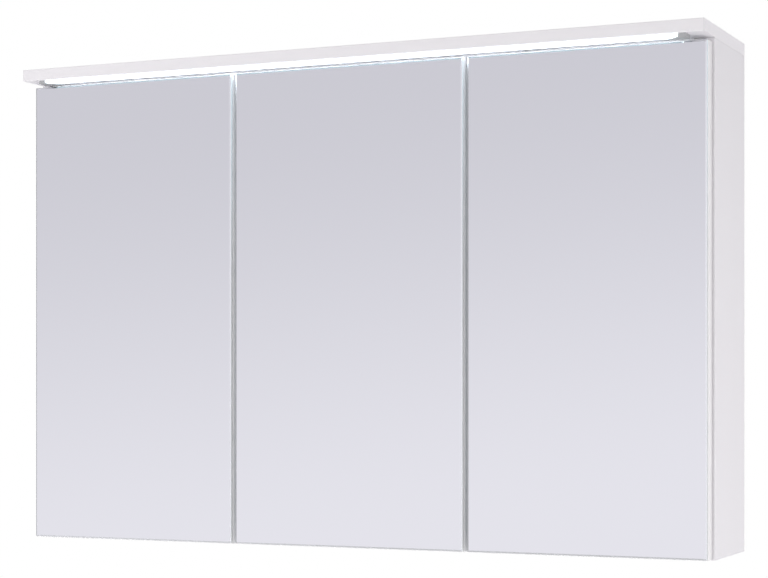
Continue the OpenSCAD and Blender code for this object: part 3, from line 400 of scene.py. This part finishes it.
def mirrorFinish():
    material, tree, shader = startFinish("silveredGlass", {"Specular IOR Level": 0.6})
    way = facing(tree)
    front = sums(tree, "LESS_THAN", way["Y"], mirror["front"])
    silvered = sums(tree, "LESS_THAN", way["Y"], mirror["silvered"])
    upwards = sums(tree, "GREATER_THAN", way["Z"], mirror["slope"])
    downwards = sums(tree, "LESS_THAN", way["Z"], -mirror["slope"])
    place = objectPlace(tree)
    spot = axes(tree, place)
    ground = cloud(tree, place, mirror["groundSize"])
    smudge = cloud(tree, place, mirror["smudgeSize"], detail=3.0)
    across = sums(tree, "ABSOLUTE", spot["X"])
    # painted shade: the bevel's top is darkened under the light bar and its foot is darkened as well
    beyond = spread(tree, across, 0.0, 1.0, *mirror["barEnd"], "SMOOTHSTEP")
    top = blendColour(tree, beyond, mirror["paintedShadeTopArris"], mirror["paintedShadeFootArris"])
    bevel = blendColour(tree, upwards, mirror["arris"], top)
    bevel = blendColour(tree, downwards, bevel, mirror["paintedShadeFootArris"])
    rim = tones(tree, ground, mirror["rim"], mirror["rimShade"])
    worked = blendColour(tree, silvered, rim, bevel)
    polish = blendValue(tree, front, mirror["arrisPolish"], 1.0)
    groundRough = spread(tree, ground, *mirror["groundRough"])
    smudgeRough = spread(tree, smudge, *mirror["smudgeRough"])
    # painted light: the unsilvered glass edges glow, full at the top and fading out lower down
    light = spread(tree, spot["Z"], 0.0, mirror["light"], *mirror["paintedGlowRange"], "SMOOTHSTEP")
    glowingRimsOnly = sums(tree, "SUBTRACT", 1.0, silvered)
    shader.inputs["Emission Color"].default_value = (*mirror["paintedRimGlow"], 1.0)
    feed(tree, shader, {"Base Color": blendColour(tree, front, worked, mirror["silver"]),
                        "Metallic": sums(tree, "MULTIPLY", silvered, polish),
                        "Roughness": blendValue(tree, front, groundRough, smudgeRough),
                        "Emission Strength": sums(tree, "MULTIPLY", light, glowingRimsOnly)})
    return material


glass = {
    "clear": (0.965, 0.99, 0.98),
    "edge": (0.40, 0.72, 0.60),
    "edgeShade": 0.85,
    "edgeGrain": 0.0008,
    "edgeRough": 0.22,
    "edgeClear": 0.55,  # share of the light that passes the ground edge
}


def shelfFinish():
    material, tree, shader = startFinish("clearFloatGlass", {"IOR": 1.52, "Specular IOR Level": 0.5})
    flat = squareTo(tree, "Z")
    ground = cloud(tree, objectPlace(tree), glass["edgeGrain"])
    edge = tones(tree, ground, glass["edge"], glass["edgeShade"])
    feed(tree, shader, {"Base Color": blendColour(tree, flat, edge, glass["clear"]),
                        "Transmission Weight": spread(tree, flat, glass["edgeClear"], 1.0),
                        "Roughness": spread(tree, flat, glass["edgeRough"], 0.0)})
    return material


metalLook = {
    "tones": (0.90, 1.06),
    "patchSize": 0.006,
    "patchRange": (0.4, 0.6),
    "patchShade": 0.75,
    "depth": 0.000004,
}
metals = {
    "nickel_steel": {"name": "nickelSteel", "colour": (0.66, 0.645, 0.62), "rough": (0.16, 0.30),
                     "grain": 0.0012},
    "zinc_steel": {"name": "zincSteel", "colour": (0.58, 0.60, 0.63), "rough": (0.28, 0.46),
                   "grain": 0.0009, "spangle": 0.5},
    "anodised_aluminium": {"name": "anodisedAluminium", "colour": (0.74, 0.745, 0.76),
                           "rough": (0.26, 0.40), "grain": 0.0004, "stretch": (0.01, 1, 1)},
}


def metalFinish(name, colour, rough, grain, stretch=(1, 1, 1), spangle=0.0):
    material, tree, shader = startFinish(name, {"Metallic": 1.0})
    fine = cloud(tree, objectPlace(tree, stretch=stretch), grain, detail=3.0)
    tone = tones(tree, fine, colour, *metalLook["tones"])
    blot = cloud(tree, objectPlace(tree), metalLook["patchSize"])
    patch = spread(tree, blot, 0.0, spangle, *metalLook["patchRange"])
    patched = blendColour(tree, patch, tone, shaded(colour, metalLook["patchShade"]))
    feed(tree, shader, {"Base Color": patched, "Roughness": spread(tree, fine, *rough)})
    dents(tree, shader, fine, metalLook["depth"])
    return material


plasticLook = {"toneSize": 0.03, "toneShade": 0.96, "pitShade": 0.93}
plastics = {
    "clear_bumper": {"name": "clearBumper", "colour": (0.93, 0.94, 0.95), "rough": (0.10, 0.22),
                     "grain": 0.001, "depth": 0.00002,
                     "fixed": {"Transmission Weight": 0.85, "IOR": 1.46}},
    "grey_plastic": {"name": "greyPlastic", "colour": (0.40, 0.405, 0.415), "rough": (0.38, 0.52),
                     "grain": 0.0005, "depth": 0.00003},
    "white_plastic": {"name": "whitePlastic", "colour": (0.80, 0.80, 0.785), "rough": (0.26, 0.36),
                      "grain": 0.0005, "depth": 0.00002},
    "lead_sheath": {"name": "leadSheath", "colour": (0.74, 0.74, 0.73), "rough": (0.40, 0.50),
                    "grain": 0.0008, "depth": 0.00003},
}


def plasticFinish(name, colour, rough, grain, depth, fixed=None):
    material, tree, shader = startFinish(name, fixed or {})
    place = objectPlace(tree)
    leather = cloud(tree, place, grain)
    tone = tones(tree, cloud(tree, place, plasticLook["toneSize"]), colour, plasticLook["toneShade"])
    pitted = blendColour(tree, leather, tone, shaded(colour, plasticLook["pitShade"]))
    feed(tree, shader, {"Base Color": pitted, "Roughness": spread(tree, leather, *rough)})
    dents(tree, shader, leather, depth)
    return material


foam = {
    "cells": 2600.0,  # to the metre
    # painted shade: the cell hollows are darker than the cell walls
    "paintedShadeHollow": (0.52, 0.52, 0.50),
    "wall": (0.84, 0.84, 0.81),
    "wallFrom": 0.6,
    "depth": 0.00006,
}


def foamFinish():
    material, tree, shader = startFinish("foamTape", {"Roughness": 0.95, "Specular IOR Level": 0.2})
    sockets = {"Vector": objectPlace(tree), "Scale": foam["cells"]}
    cells = addNode(tree, "TexVoronoi", sockets).outputs["Distance"]
    # painted shade in the cell hollows, pale on the walls between them
    wall = spread(tree, cells, 0.0, 1.0, 0.0, foam["wallFrom"])
    feed(tree, shader, {"Base Color": blendColour(tree, wall, foam["paintedShadeHollow"], foam["wall"])})
    dents(tree, shader, cells, foam["depth"])
    return material


wood = {
    "pale": (0.56, 0.37, 0.20),
    "dark": (0.38, 0.22, 0.10),
    "grain": 0.0008,
    "grainStretch": (1, 1, 0.08),
    "fleck": 0.0004,
    "fleckStretch": (1, 1, 0.3),
    "fleckShare": 0.6,
    "fleckRange": (0.6, 0.75),
    "depth": 0.00015,
}


def beechFinish():
    material, tree, shader = startFinish("beechDowel", {"Roughness": 0.62, "Specular IOR Level": 0.3})
    grain = cloud(tree, objectPlace(tree, stretch=wood["grainStretch"]), wood["grain"], detail=4.0)
    specks = cloud(tree, objectPlace(tree, stretch=wood["fleckStretch"]), wood["fleck"], detail=1.0)
    tone = blendColour(tree, grain, wood["dark"], wood["pale"])
    fleck = spread(tree, specks, 0.0, wood["fleckShare"], *wood["fleckRange"])
    feed(tree, shader, {"Base Color": blendColour(tree, fleck, tone, wood["dark"])})
    dents(tree, shader, grain, wood["depth"])
    return material


lightBar = {
    "light": (0.80, 0.93, 1.0),
    "strength": 1.8,
    "rearStrength": 1.2,     # on the cover's wall towards the mirrors
    "rearRange": (0.3, 0.9),
    "cover": (0.90, 0.92, 0.94),
    "coverShade": 0.95,
    "coverGrain": 0.002,
    "chipPitch": 0.020,
    "waver": 0.94,           # how bright the cover still is between two chips
    "board": (0.82, 0.82, 0.80),
    "boardShade": 0.93,
    "chip": (0.85, 0.66, 0.12),
    "chipShade": 0.85,
    "chipDrop": 0.0013,      # the chips hang under the strip, this far below its top
    "chipStrength": 2.0,
    "speck": 0.0005,
}


def opalFinish():
    material, tree, shader = startFinish("opalCover", {"Roughness": 0.35})
    place = objectPlace(tree)
    grain = cloud(tree, place, lightBar["coverGrain"])
    along = sums(tree, "MULTIPLY", axes(tree, place)["X"], 2 * math.pi / lightBar["chipPitch"])
    wave = spread(tree, sums(tree, "COSINE", along), lightBar["waver"], 1.0, -1.0, 1.0)
    strengths = lightBar["strength"], lightBar["rearStrength"]
    wall = spread(tree, facing(tree)["Y"], *strengths, *lightBar["rearRange"])
    shader.inputs["Emission Color"].default_value = (*lightBar["light"], 1.0)
    feed(tree, shader, {"Base Color": tones(tree, grain, lightBar["cover"], lightBar["coverShade"]),
                        "Emission Strength": sums(tree, "MULTIPLY", wave, wall)})
    return material


def stripFinish():
    material, tree, shader = startFinish("lightStrip", {"Roughness": 0.45})
    place = objectPlace(tree)
    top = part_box("led_strip")[1][2]
    chips = sums(tree, "LESS_THAN", axes(tree, place)["Z"], top - lightBar["chipDrop"])
    speck = cloud(tree, place, lightBar["speck"])
    board = tones(tree, speck, lightBar["board"], lightBar["boardShade"])
    chip = tones(tree, speck, lightBar["chip"], lightBar["chipShade"])
    shader.inputs["Emission Color"].default_value = (*lightBar["light"], 1.0)
    feed(tree, shader, {"Base Color": blendColour(tree, chips, board, chip),
                        "Emission Strength": sums(tree, "MULTIPLY", chips, lightBar["chipStrength"])})
    return material


finish = {
    "mirror_glass": mirrorFinish(),
    "clear_glass": shelfFinish(),
    "foam_tape": foamFinish(),
    "beech": beechFinish(),
    "light_strip": stripFinish(),
    "opal_diffuser": opalFinish(),
}
for slotName, values in metals.items():
    finish[slotName] = metalFinish(**values)
for slotName, values in plastics.items():
    finish[slotName] = plasticFinish(**values)


def whiteWithPaintedLightAndShadeOf(name, slotName):
    # rails get a lighter white as painted light in the shaded gap over the doors, side panels a darker white
    # as painted shade; other boards go by their slot
    for word in ("rail", "side"):
        if word in name:
            return melamine[word]
    return melamine[slotName.split("_")[0]]


for record in frame["record"]["subparts"]:
    name, slotName = record["node"], record["material_slot"]
    if name == "back_panel":
        dress(nodes[name], backFinish())
    elif "melamine" in slotName and "door" in name:
        dress(nodes[name], doorFinish(name + "_white", *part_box(name)))
    elif "melamine" in slotName:
        dress(nodes[name], boardFinish(name + "_white", whiteWithPaintedLightAndShadeOf(name, slotName), *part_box(name)))
    else:
        dress(nodes[name], finish[slotName])
print("finishes ready")


squareOn = 0.99         # past this share a face or an edge runs along an axis
near = 0.0001           # within this a point lies on a plane or a rim
mergeWithin = 0.000001


def deselectAll():
    # edit mode ends first, where a piece is still in it
    if bpy.context.object and bpy.context.object.mode == "EDIT":
        bpy.ops.object.mode_set(mode="OBJECT")
    bpy.ops.object.select_all(action="DESELECT")


def settle():
    # the object goes to the origin and its place into its mesh
    bpy.ops.object.transform_apply(location=True, rotation=True, scale=True)
    return bpy.context.object


def startBox(low, high):
    deselectAll()
    bpy.ops.mesh.primitive_cube_add(size=1.0, location=[(a + b) / 2 for a, b in zip(low, high)],
                                    scale=[b - a for a, b in zip(low, high)])
    return settle()


turns = {"X": (0.0, math.pi / 2, 0.0), "Y": (math.pi / 2, 0.0, 0.0)}


def startRod(centre, radius, length, axis, sides):
    deselectAll()
    bpy.ops.mesh.primitive_cylinder_add(vertices=sides, radius=radius, depth=length, location=centre,
                                        rotation=turns[axis])
    return settle()


def enterEdit(piece):
    bpy.context.view_layer.objects.active = piece
    if piece.mode == "OBJECT":
        bpy.ops.object.mode_set(mode="EDIT")


def pickAll(piece):
    enterEdit(piece)
    bpy.ops.mesh.select_all(action="SELECT")


def pick(piece, kind, test):
    # selects the faces or edges that pass a test on their middle and direction
    enterEdit(piece)
    bpy.ops.mesh.select_mode(type=kind)
    bpy.ops.mesh.select_all(action="DESELECT")
    bpy.ops.object.mode_set(mode="OBJECT")
    if kind == "FACE":
        for face in piece.data.polygons:
            face.select = bool(test(face.center, face.normal))
    else:
        for edge in piece.data.edges:
            start, end = (piece.data.vertices[i].co for i in edge.vertices)
            edge.select = bool(test((start + end) / 2, (end - start).normalized()))
    bpy.ops.object.mode_set(mode="EDIT")


def onSides(middle, low, high):
    # whether a point lies on one of a box's upright sides
    return any(middle[a] < low[a] + near or middle[a] > high[a] - near for a in (0, 1))


def cutEdges(width, segments=2):
    bpy.ops.mesh.bevel(offset=width, segments=segments, affect="EDGES", clamp_overlap=True)


def cutThrough(place, direction, **options):
    bpy.ops.mesh.select_all(action="SELECT")
    bpy.ops.mesh.bisect(plane_co=place, plane_no=direction, **options)


def push(offset):
    bpy.ops.mesh.extrude_region_move(TRANSFORM_OT_translate={"value": offset})


def startRing(foot, way, axis, values):
    # a ring that stands on a wall, with its free outer rim rounded
    along = "XYZ".index(axis)
    centre = Vector(foot)
    centre[along] += way * values["length"] / 2
    piece = startRod(centre, values["outer"], values["length"], axis, values["sides"])
    pick(piece, "FACE", lambda middle, normal: abs(normal[along]) > squareOn)
    bpy.ops.mesh.inset(thickness=values["outer"] - values["inner"])
    bpy.ops.mesh.bridge_edge_loops()

    def onRim(middle, direction):
        offset = middle - centre
        height = way * offset[along]
        offset[along] = 0.0
        return height > near and offset.length > values["outer"] - near

    pick(piece, "EDGE", onRim)
    cutEdges(values["edge"], values["rounding"])
    return piece


def copyOf(piece, place=(0, 0, 0), turned=(1, 1, 1)):
    # a copy with its own mesh, turned over at the origin and then moved to its place
    deselectAll()
    piece.select_set(True)
    bpy.context.view_layer.objects.active = piece
    bpy.ops.object.duplicate()
    bpy.ops.transform.resize(value=turned, center_override=(0, 0, 0))
    bpy.ops.transform.translate(value=place)
    return settle()


def complete(parts, name, body, slotName, smooth=35):
    # the parts become one piece, with its faces outwards, its finish and the body that it rides on
    deselectAll()
    for part in parts:
        part.select_set(True)
    piece = parts[0]
    bpy.context.view_layer.objects.active = piece
    if len(parts) > 1:
        bpy.ops.object.join()
    piece.name = name
    piece.data.name = name
    pickAll(piece)
    bpy.ops.mesh.remove_doubles(threshold=mergeWithin)
    bpy.ops.mesh.normals_make_consistent(inside=False)
    deselectAll()
    piece.select_set(True)
    bpy.ops.object.shade_smooth_by_angle(angle=math.radians(smooth))
    dress(piece, finish[slotName])
    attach(piece, body)


endHolder = {
    "thick": 0.0007,
    "reach": 0.018,    # how far its rear corner reaches under the opal cover
    "edge": 0.0002,
    "grip": 0.0030,    # margin of the sunk grip under the cap
    "gripDepth": 0.0003,
}


def makeEndHolders(values):
    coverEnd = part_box("led_diffuser")[1][0]
    capLow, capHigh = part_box("led_end_caps")
    under = capLow[2]
    low = (coverEnd - values["reach"], capLow[1], under - values["thick"])
    high = (capHigh[0], capHigh[1], under)
    piece = startBox(low, high)
    enterEdit(piece)
    # the toe runs from the cover's front corner back and inwards
    cutThrough((coverEnd, low[1], 0), (high[1] - low[1], values["reach"], 0), use_fill=True, clear_inner=True)
    cutThrough((coverEnd, 0, 0), (1, 0, 0))
    pick(piece, "FACE", lambda middle, normal: normal[2] < -squareOn and middle[0] > coverEnd)
    bpy.ops.mesh.inset(thickness=values["grip"])
    push((0, 0, values["gripDepth"]))
    pick(piece, "EDGE", lambda middle, direction: middle[2] < low[2] + near and onSides(middle, low, high))
    cutEdges(values["edge"])
    complete([piece, copyOf(piece, turned=(-1, 1, 1))], "led_end_holders", "cabinet", "grey_plastic")


hinge = {
    "ways": {"left": 1, "middle": 1, "right": -1},  # which way the cups lie from the pins
    "pinReach": 0.01174,  # half a pin's length
    "armTop": 0.0147,     # the arm's outer face, inwards from the pin
    "armRear": 0.0700,    # the arm's rear end, behind the pin
}


def hingePins(side):
    # the middles of a door's two hinge pins
    low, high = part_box(side + "_hinge_pins")
    x, y = (low[0] + high[0]) / 2, (low[1] + high[1]) / 2
    return [Vector((x, y, z)) for z in (low[2] + hinge["pinReach"], high[2] - hinge["pinReach"])]


spring = {
    "coil": 0.00175,
    "wire": 0.00042,
    "sides": (20, 8),
    "lean": 3.0,      # degrees
    "pitch": 0.00086,
    "turns": 4,       # at each end of the pin
    "start": 0.0078,  # the first turn, up and down from the pin's middle
}


def makeSprings(values):
    deselectAll()
    bpy.ops.mesh.primitive_torus_add(location=(0, 0, 0), rotation=(math.radians(values["lean"]), 0, 0),
                                     major_radius=values["coil"], major_segments=values["sides"][0],
                                     minor_radius=values["wire"], minor_segments=values["sides"][1])
    pattern = settle()
    heights = [values["start"] + turn * values["pitch"] for turn in range(values["turns"])]
    for side in hinge["ways"]:
        parts = []
        for middle in hingePins(side):
            for height in [-h for h in heights] + heights:
                parts.append(copyOf(pattern, middle + Vector((0, 0, height))))
        complete(parts, side + "_hinge_springs", side + "_door", "nickel_steel", smooth=80)
    bpy.data.objects.remove(pattern)


damper = {
    "from": 0.0180,    # its ends, from the pin towards the cup's middle
    "to": 0.0243,
    "low": -0.0020,    # its front and rear, from the pin
    "high": 0.0052,
    "half": 0.0088,
    "edge": 0.0009,
    "slot": 0.0016,    # margin of the sunk slot in its rear
    "slotDepth": 0.0008,
}


def makeDampers(values):
    pattern = startBox((values["from"], values["low"], -values["half"]),
                       (values["to"], values["high"], values["half"]))
    pickAll(pattern)
    cutEdges(values["edge"], segments=3)
    pick(pattern, "FACE", lambda middle, normal: normal[1] > squareOn)
    bpy.ops.mesh.inset(thickness=values["slot"])
    push((0, -values["slotDepth"], 0))
    for side, way in hinge["ways"].items():
        parts = [copyOf(pattern, middle, (way, 1, 1)) for middle in hingePins(side)]
        complete(parts, side + "_soft_dampers", side + "_door", "grey_plastic")
    bpy.data.objects.remove(pattern)


lever = {"half": 0.0046, "length": 0.0075, "thick": 0.0008, "edge": 0.00025, "lift": 0.0022}


def makeArmLevers(values):
    # the spring lever that frees each hinge arm from its plate, at the arm's rear end
    top, rear = hinge["armTop"], hinge["armRear"]
    pattern = startBox((top, rear - values["length"], -values["half"]),
                       (top + values["thick"], rear, values["half"]))
    pick(pattern, "FACE", lambda middle, normal: normal[1] > squareOn)
    push((values["lift"], values["lift"], 0))
    pickAll(pattern)
    cutEdges(values["edge"])
    parts = []
    for side, way in hinge["ways"].items():
        parts += [copyOf(pattern, middle, (way, 1, 1)) for middle in hingePins(side)]
    complete(parts, "hinge_arm_levers", "cabinet", "nickel_steel")
    bpy.data.objects.remove(pattern)


shelfPin = {
    "radius": 0.0025,
    "shelves": ("left_lower_shelf", "left_upper_shelf"),  # the other bays' shelves lie level with these
    "panels": (("left_side_panel", 1), ("left_partition", -1), ("left_partition", 1),
               ("right_partition", -1), ("right_partition", 1), ("right_side_panel", -1)),
}


def shelfPins(values):
    # where each pin leaves its panel, and the way it stands out
    low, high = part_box("shelf_pins")
    radius = values["radius"]
    for shelf in values["shelves"]:
        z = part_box(shelf)[0][2] - radius
        for y in (low[1] + radius, high[1] - radius):
            for panel, way in values["panels"]:
                panelLow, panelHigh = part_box(panel)
                yield Vector((panelHigh[0] if way > 0 else panelLow[0], y, z)), way


collar = {"outer": 0.0038, "inner": 0.00252, "length": 0.0008, "edge": 0.0003, "sides": 24, "rounding": 2}


def makeCollars(values):
    pattern = startRing((0, 0, 0), 1, "X", values)
    parts = [copyOf(pattern, spot, (way, 1, 1)) for spot, way in shelfPins(shelfPin)]
    complete(parts, "shelf_pin_collars", "cabinet", "clear_bumper")
    bpy.data.objects.remove(pattern)


holeCap = {"radius": 0.0034, "rise": 0.0006, "edge": 0.0004, "step": 0.032, "sides": 20}


def makeHoleCaps(values):
    # caps over the spare shelf-pin holes above and below each pin
    half = values["rise"] / 2
    pattern = startRod((half, 0, 0), values["radius"], values["rise"], "X", values["sides"])
    pick(pattern, "EDGE", lambda middle, direction: middle[0] > half + near)
    cutEdges(values["edge"])
    parts = []
    for spot, way in shelfPins(shelfPin):
        for step in (-values["step"], values["step"]):
            parts.append(copyOf(pattern, spot + Vector((0, 0, step)), (way, 1, 1)))
    complete(parts, "spare_hole_caps", "cabinet", "white_plastic", smooth=50)
    bpy.data.objects.remove(pattern)


driver = {
    "ear": 0.012,         # length of the screw ear at each end
    "leadRadius": 0.002,
}
terminal = {
    "length": 0.026,
    "margin": 0.0014,
    "rise": 0.0013,
    "sunk": 0.0002,
    "edge": 0.0005,
    "ribs": 5,
    "rib": 0.0012,
    "ribPitch": 0.0030,
    "ribDepth": 0.0004,
    "ribEnd": 0.012,      # the ribs end this far from the driver's sides
}


def makeTerminalCovers(values):
    # snap-on covers over the driver's terminals, ribbed for grip
    driverLow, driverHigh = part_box("led_driver")
    half, margin = values["length"] / 2, values["margin"]
    low = (-half, driverLow[1] + margin, driverLow[2] - values["rise"])
    high = (half, driverHigh[1] - margin, driverLow[2] + values["sunk"])
    pattern = startBox(low, high)
    enterEdit(pattern)
    ribFront, ribRear = driverLow[1] + values["ribEnd"], driverHigh[1] - values["ribEnd"]
    for y in (ribFront, ribRear):
        cutThrough((0, y, 0), (0, 1, 0))
    ribs = [(rib - (values["ribs"] - 1) / 2) * values["ribPitch"] for rib in range(values["ribs"])]
    for rib in ribs:
        for side in (-0.5, 0.5):
            cutThrough((rib + side * values["rib"], 0, 0), (1, 0, 0))
    pick(pattern, "FACE", lambda middle, normal: normal[2] < -squareOn and ribFront < middle[1] < ribRear
         and min(abs(middle[0] - rib) for rib in ribs) < values["rib"] / 2)
    push((0, 0, values["ribDepth"]))
    pick(pattern, "EDGE", lambda middle, direction: middle[2] < low[2] + near and onSides(middle, low, high))
    cutEdges(values["edge"])
    inset = driver["ear"] + margin + half
    parts = [copyOf(pattern, (x, 0, 0)) for x in (driverLow[0] + inset, driverHigh[0] - inset)]
    complete(parts, "driver_terminal_covers", "cabinet", "white_plastic")
    bpy.data.objects.remove(pattern)


earthClip = {
    "half": 0.0022,
    "thick": 0.0009,
    "front": 0.0035,    # its ends, behind the insert's face
    "back": 0.0155,
    "rim": 0.0035,      # width of the insert's rim round its recess
    "press": 0.0019,    # how far its middle springs inwards
    "pressShare": 0.45,
    "cuts": 5,
    "lengthwise": 0.3,  # past this share an edge runs along the clip, also where it slopes
    "edge": 0.0002,
}


def makeEarthClips(values):
    # the sprung earth clips at the top and bottom of the socket's recess
    low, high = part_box("socket_insert")
    x, z = (low[0] + high[0]) / 2, (low[2] + high[2]) / 2
    top = (high[2] - low[2]) / 2 - values["rim"]
    front, back = low[1] + values["front"], low[1] + values["back"]
    centre, reach = (front + back) / 2, (back - front) / 2 * values["pressShare"]
    pattern = startBox((-values["half"], front, top - values["thick"]), (values["half"], back, top))
    pick(pattern, "EDGE", lambda middle, direction: abs(direction[1]) > squareOn)
    bpy.ops.mesh.subdivide(number_cuts=values["cuts"])
    pick(pattern, "EDGE", lambda middle, direction: abs(middle[1] - centre) < reach)
    bpy.ops.transform.translate(value=(0, 0, -values["press"]))
    pick(pattern, "EDGE", lambda middle, direction: abs(direction[1]) > values["lengthwise"])
    cutEdges(values["edge"], segments=1)
    parts = [copyOf(pattern, (x, 0, z), (1, 1, way)) for way in (-1, 1)]
    complete(parts, "socket_earth_clips", "cabinet", "nickel_steel")
    bpy.data.objects.remove(pattern)


socketScrew = {
    "radius": 0.0030,
    "sides": 28,
    "rise": 0.0010,
    "edge": 0.0004,
    "floor": 0.017,     # the recess's floor, behind the insert's face
    "slot": 0.16,       # width of the slot as a share of its length
    "slotEnd": 0.0002,
    "slotDepth": 0.0006,
}


def makeSocketScrew(values):
    low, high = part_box("socket_insert")
    x, z = (low[0] + high[0]) / 2, (low[2] + high[2]) / 2
    floor = low[1] + values["floor"]
    head = floor - values["rise"]
    piece = startRod((x, (floor + head) / 2, z), values["radius"], values["rise"], "Y", values["sides"])
    pick(piece, "EDGE", lambda middle, direction: middle[1] < head + near)
    cutEdges(values["edge"], segments=3)
    pick(piece, "FACE", lambda middle, normal: normal[1] < -squareOn)
    bpy.ops.mesh.inset(thickness=values["slotEnd"])
    bpy.ops.transform.resize(value=(1, 1, values["slot"]), center_override=(x, floor, z))
    push((0, values["slotDepth"], 0))
    complete([piece], "socket_screw", "cabinet", "zinc_steel", smooth=30)


bush = {"inner": 0.00204, "outer": 0.0037, "length": 0.0030, "edge": 0.0008, "sides": 28, "rounding": 3}


def makeLeadBushes(values):
    # soft bushes where the leads enter the driver
    driverLow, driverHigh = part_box("led_driver")
    ledLow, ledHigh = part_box("led_lead")
    switchLow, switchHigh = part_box("switch_lead")
    radius = driver["leadRadius"]
    front = ((ledLow[0] + ledHigh[0]) / 2, driverLow[1], ledLow[2] + radius)
    end = (driverHigh[0] - driver["ear"], switchLow[1] + radius, switchHigh[2] - radius)
    parts = [startRing(front, -1, "Y", values), startRing(end, 1, "X", values)]
    complete(parts, "driver_lead_bushes", "cabinet", "grey_plastic")


makeEndHolders(endHolder)
print("light bar's end holders made")
makeSprings(spring)
makeDampers(damper)
makeArmLevers(lever)
print("hinge parts made")
makeCollars(collar)
makeHoleCaps(holeCap)
print("shelf fittings made")
makeTerminalCovers(terminal)
makeEarthClips(earthClip)
makeSocketScrew(socketScrew)
makeLeadBushes(bush)
print("electrical fittings made")
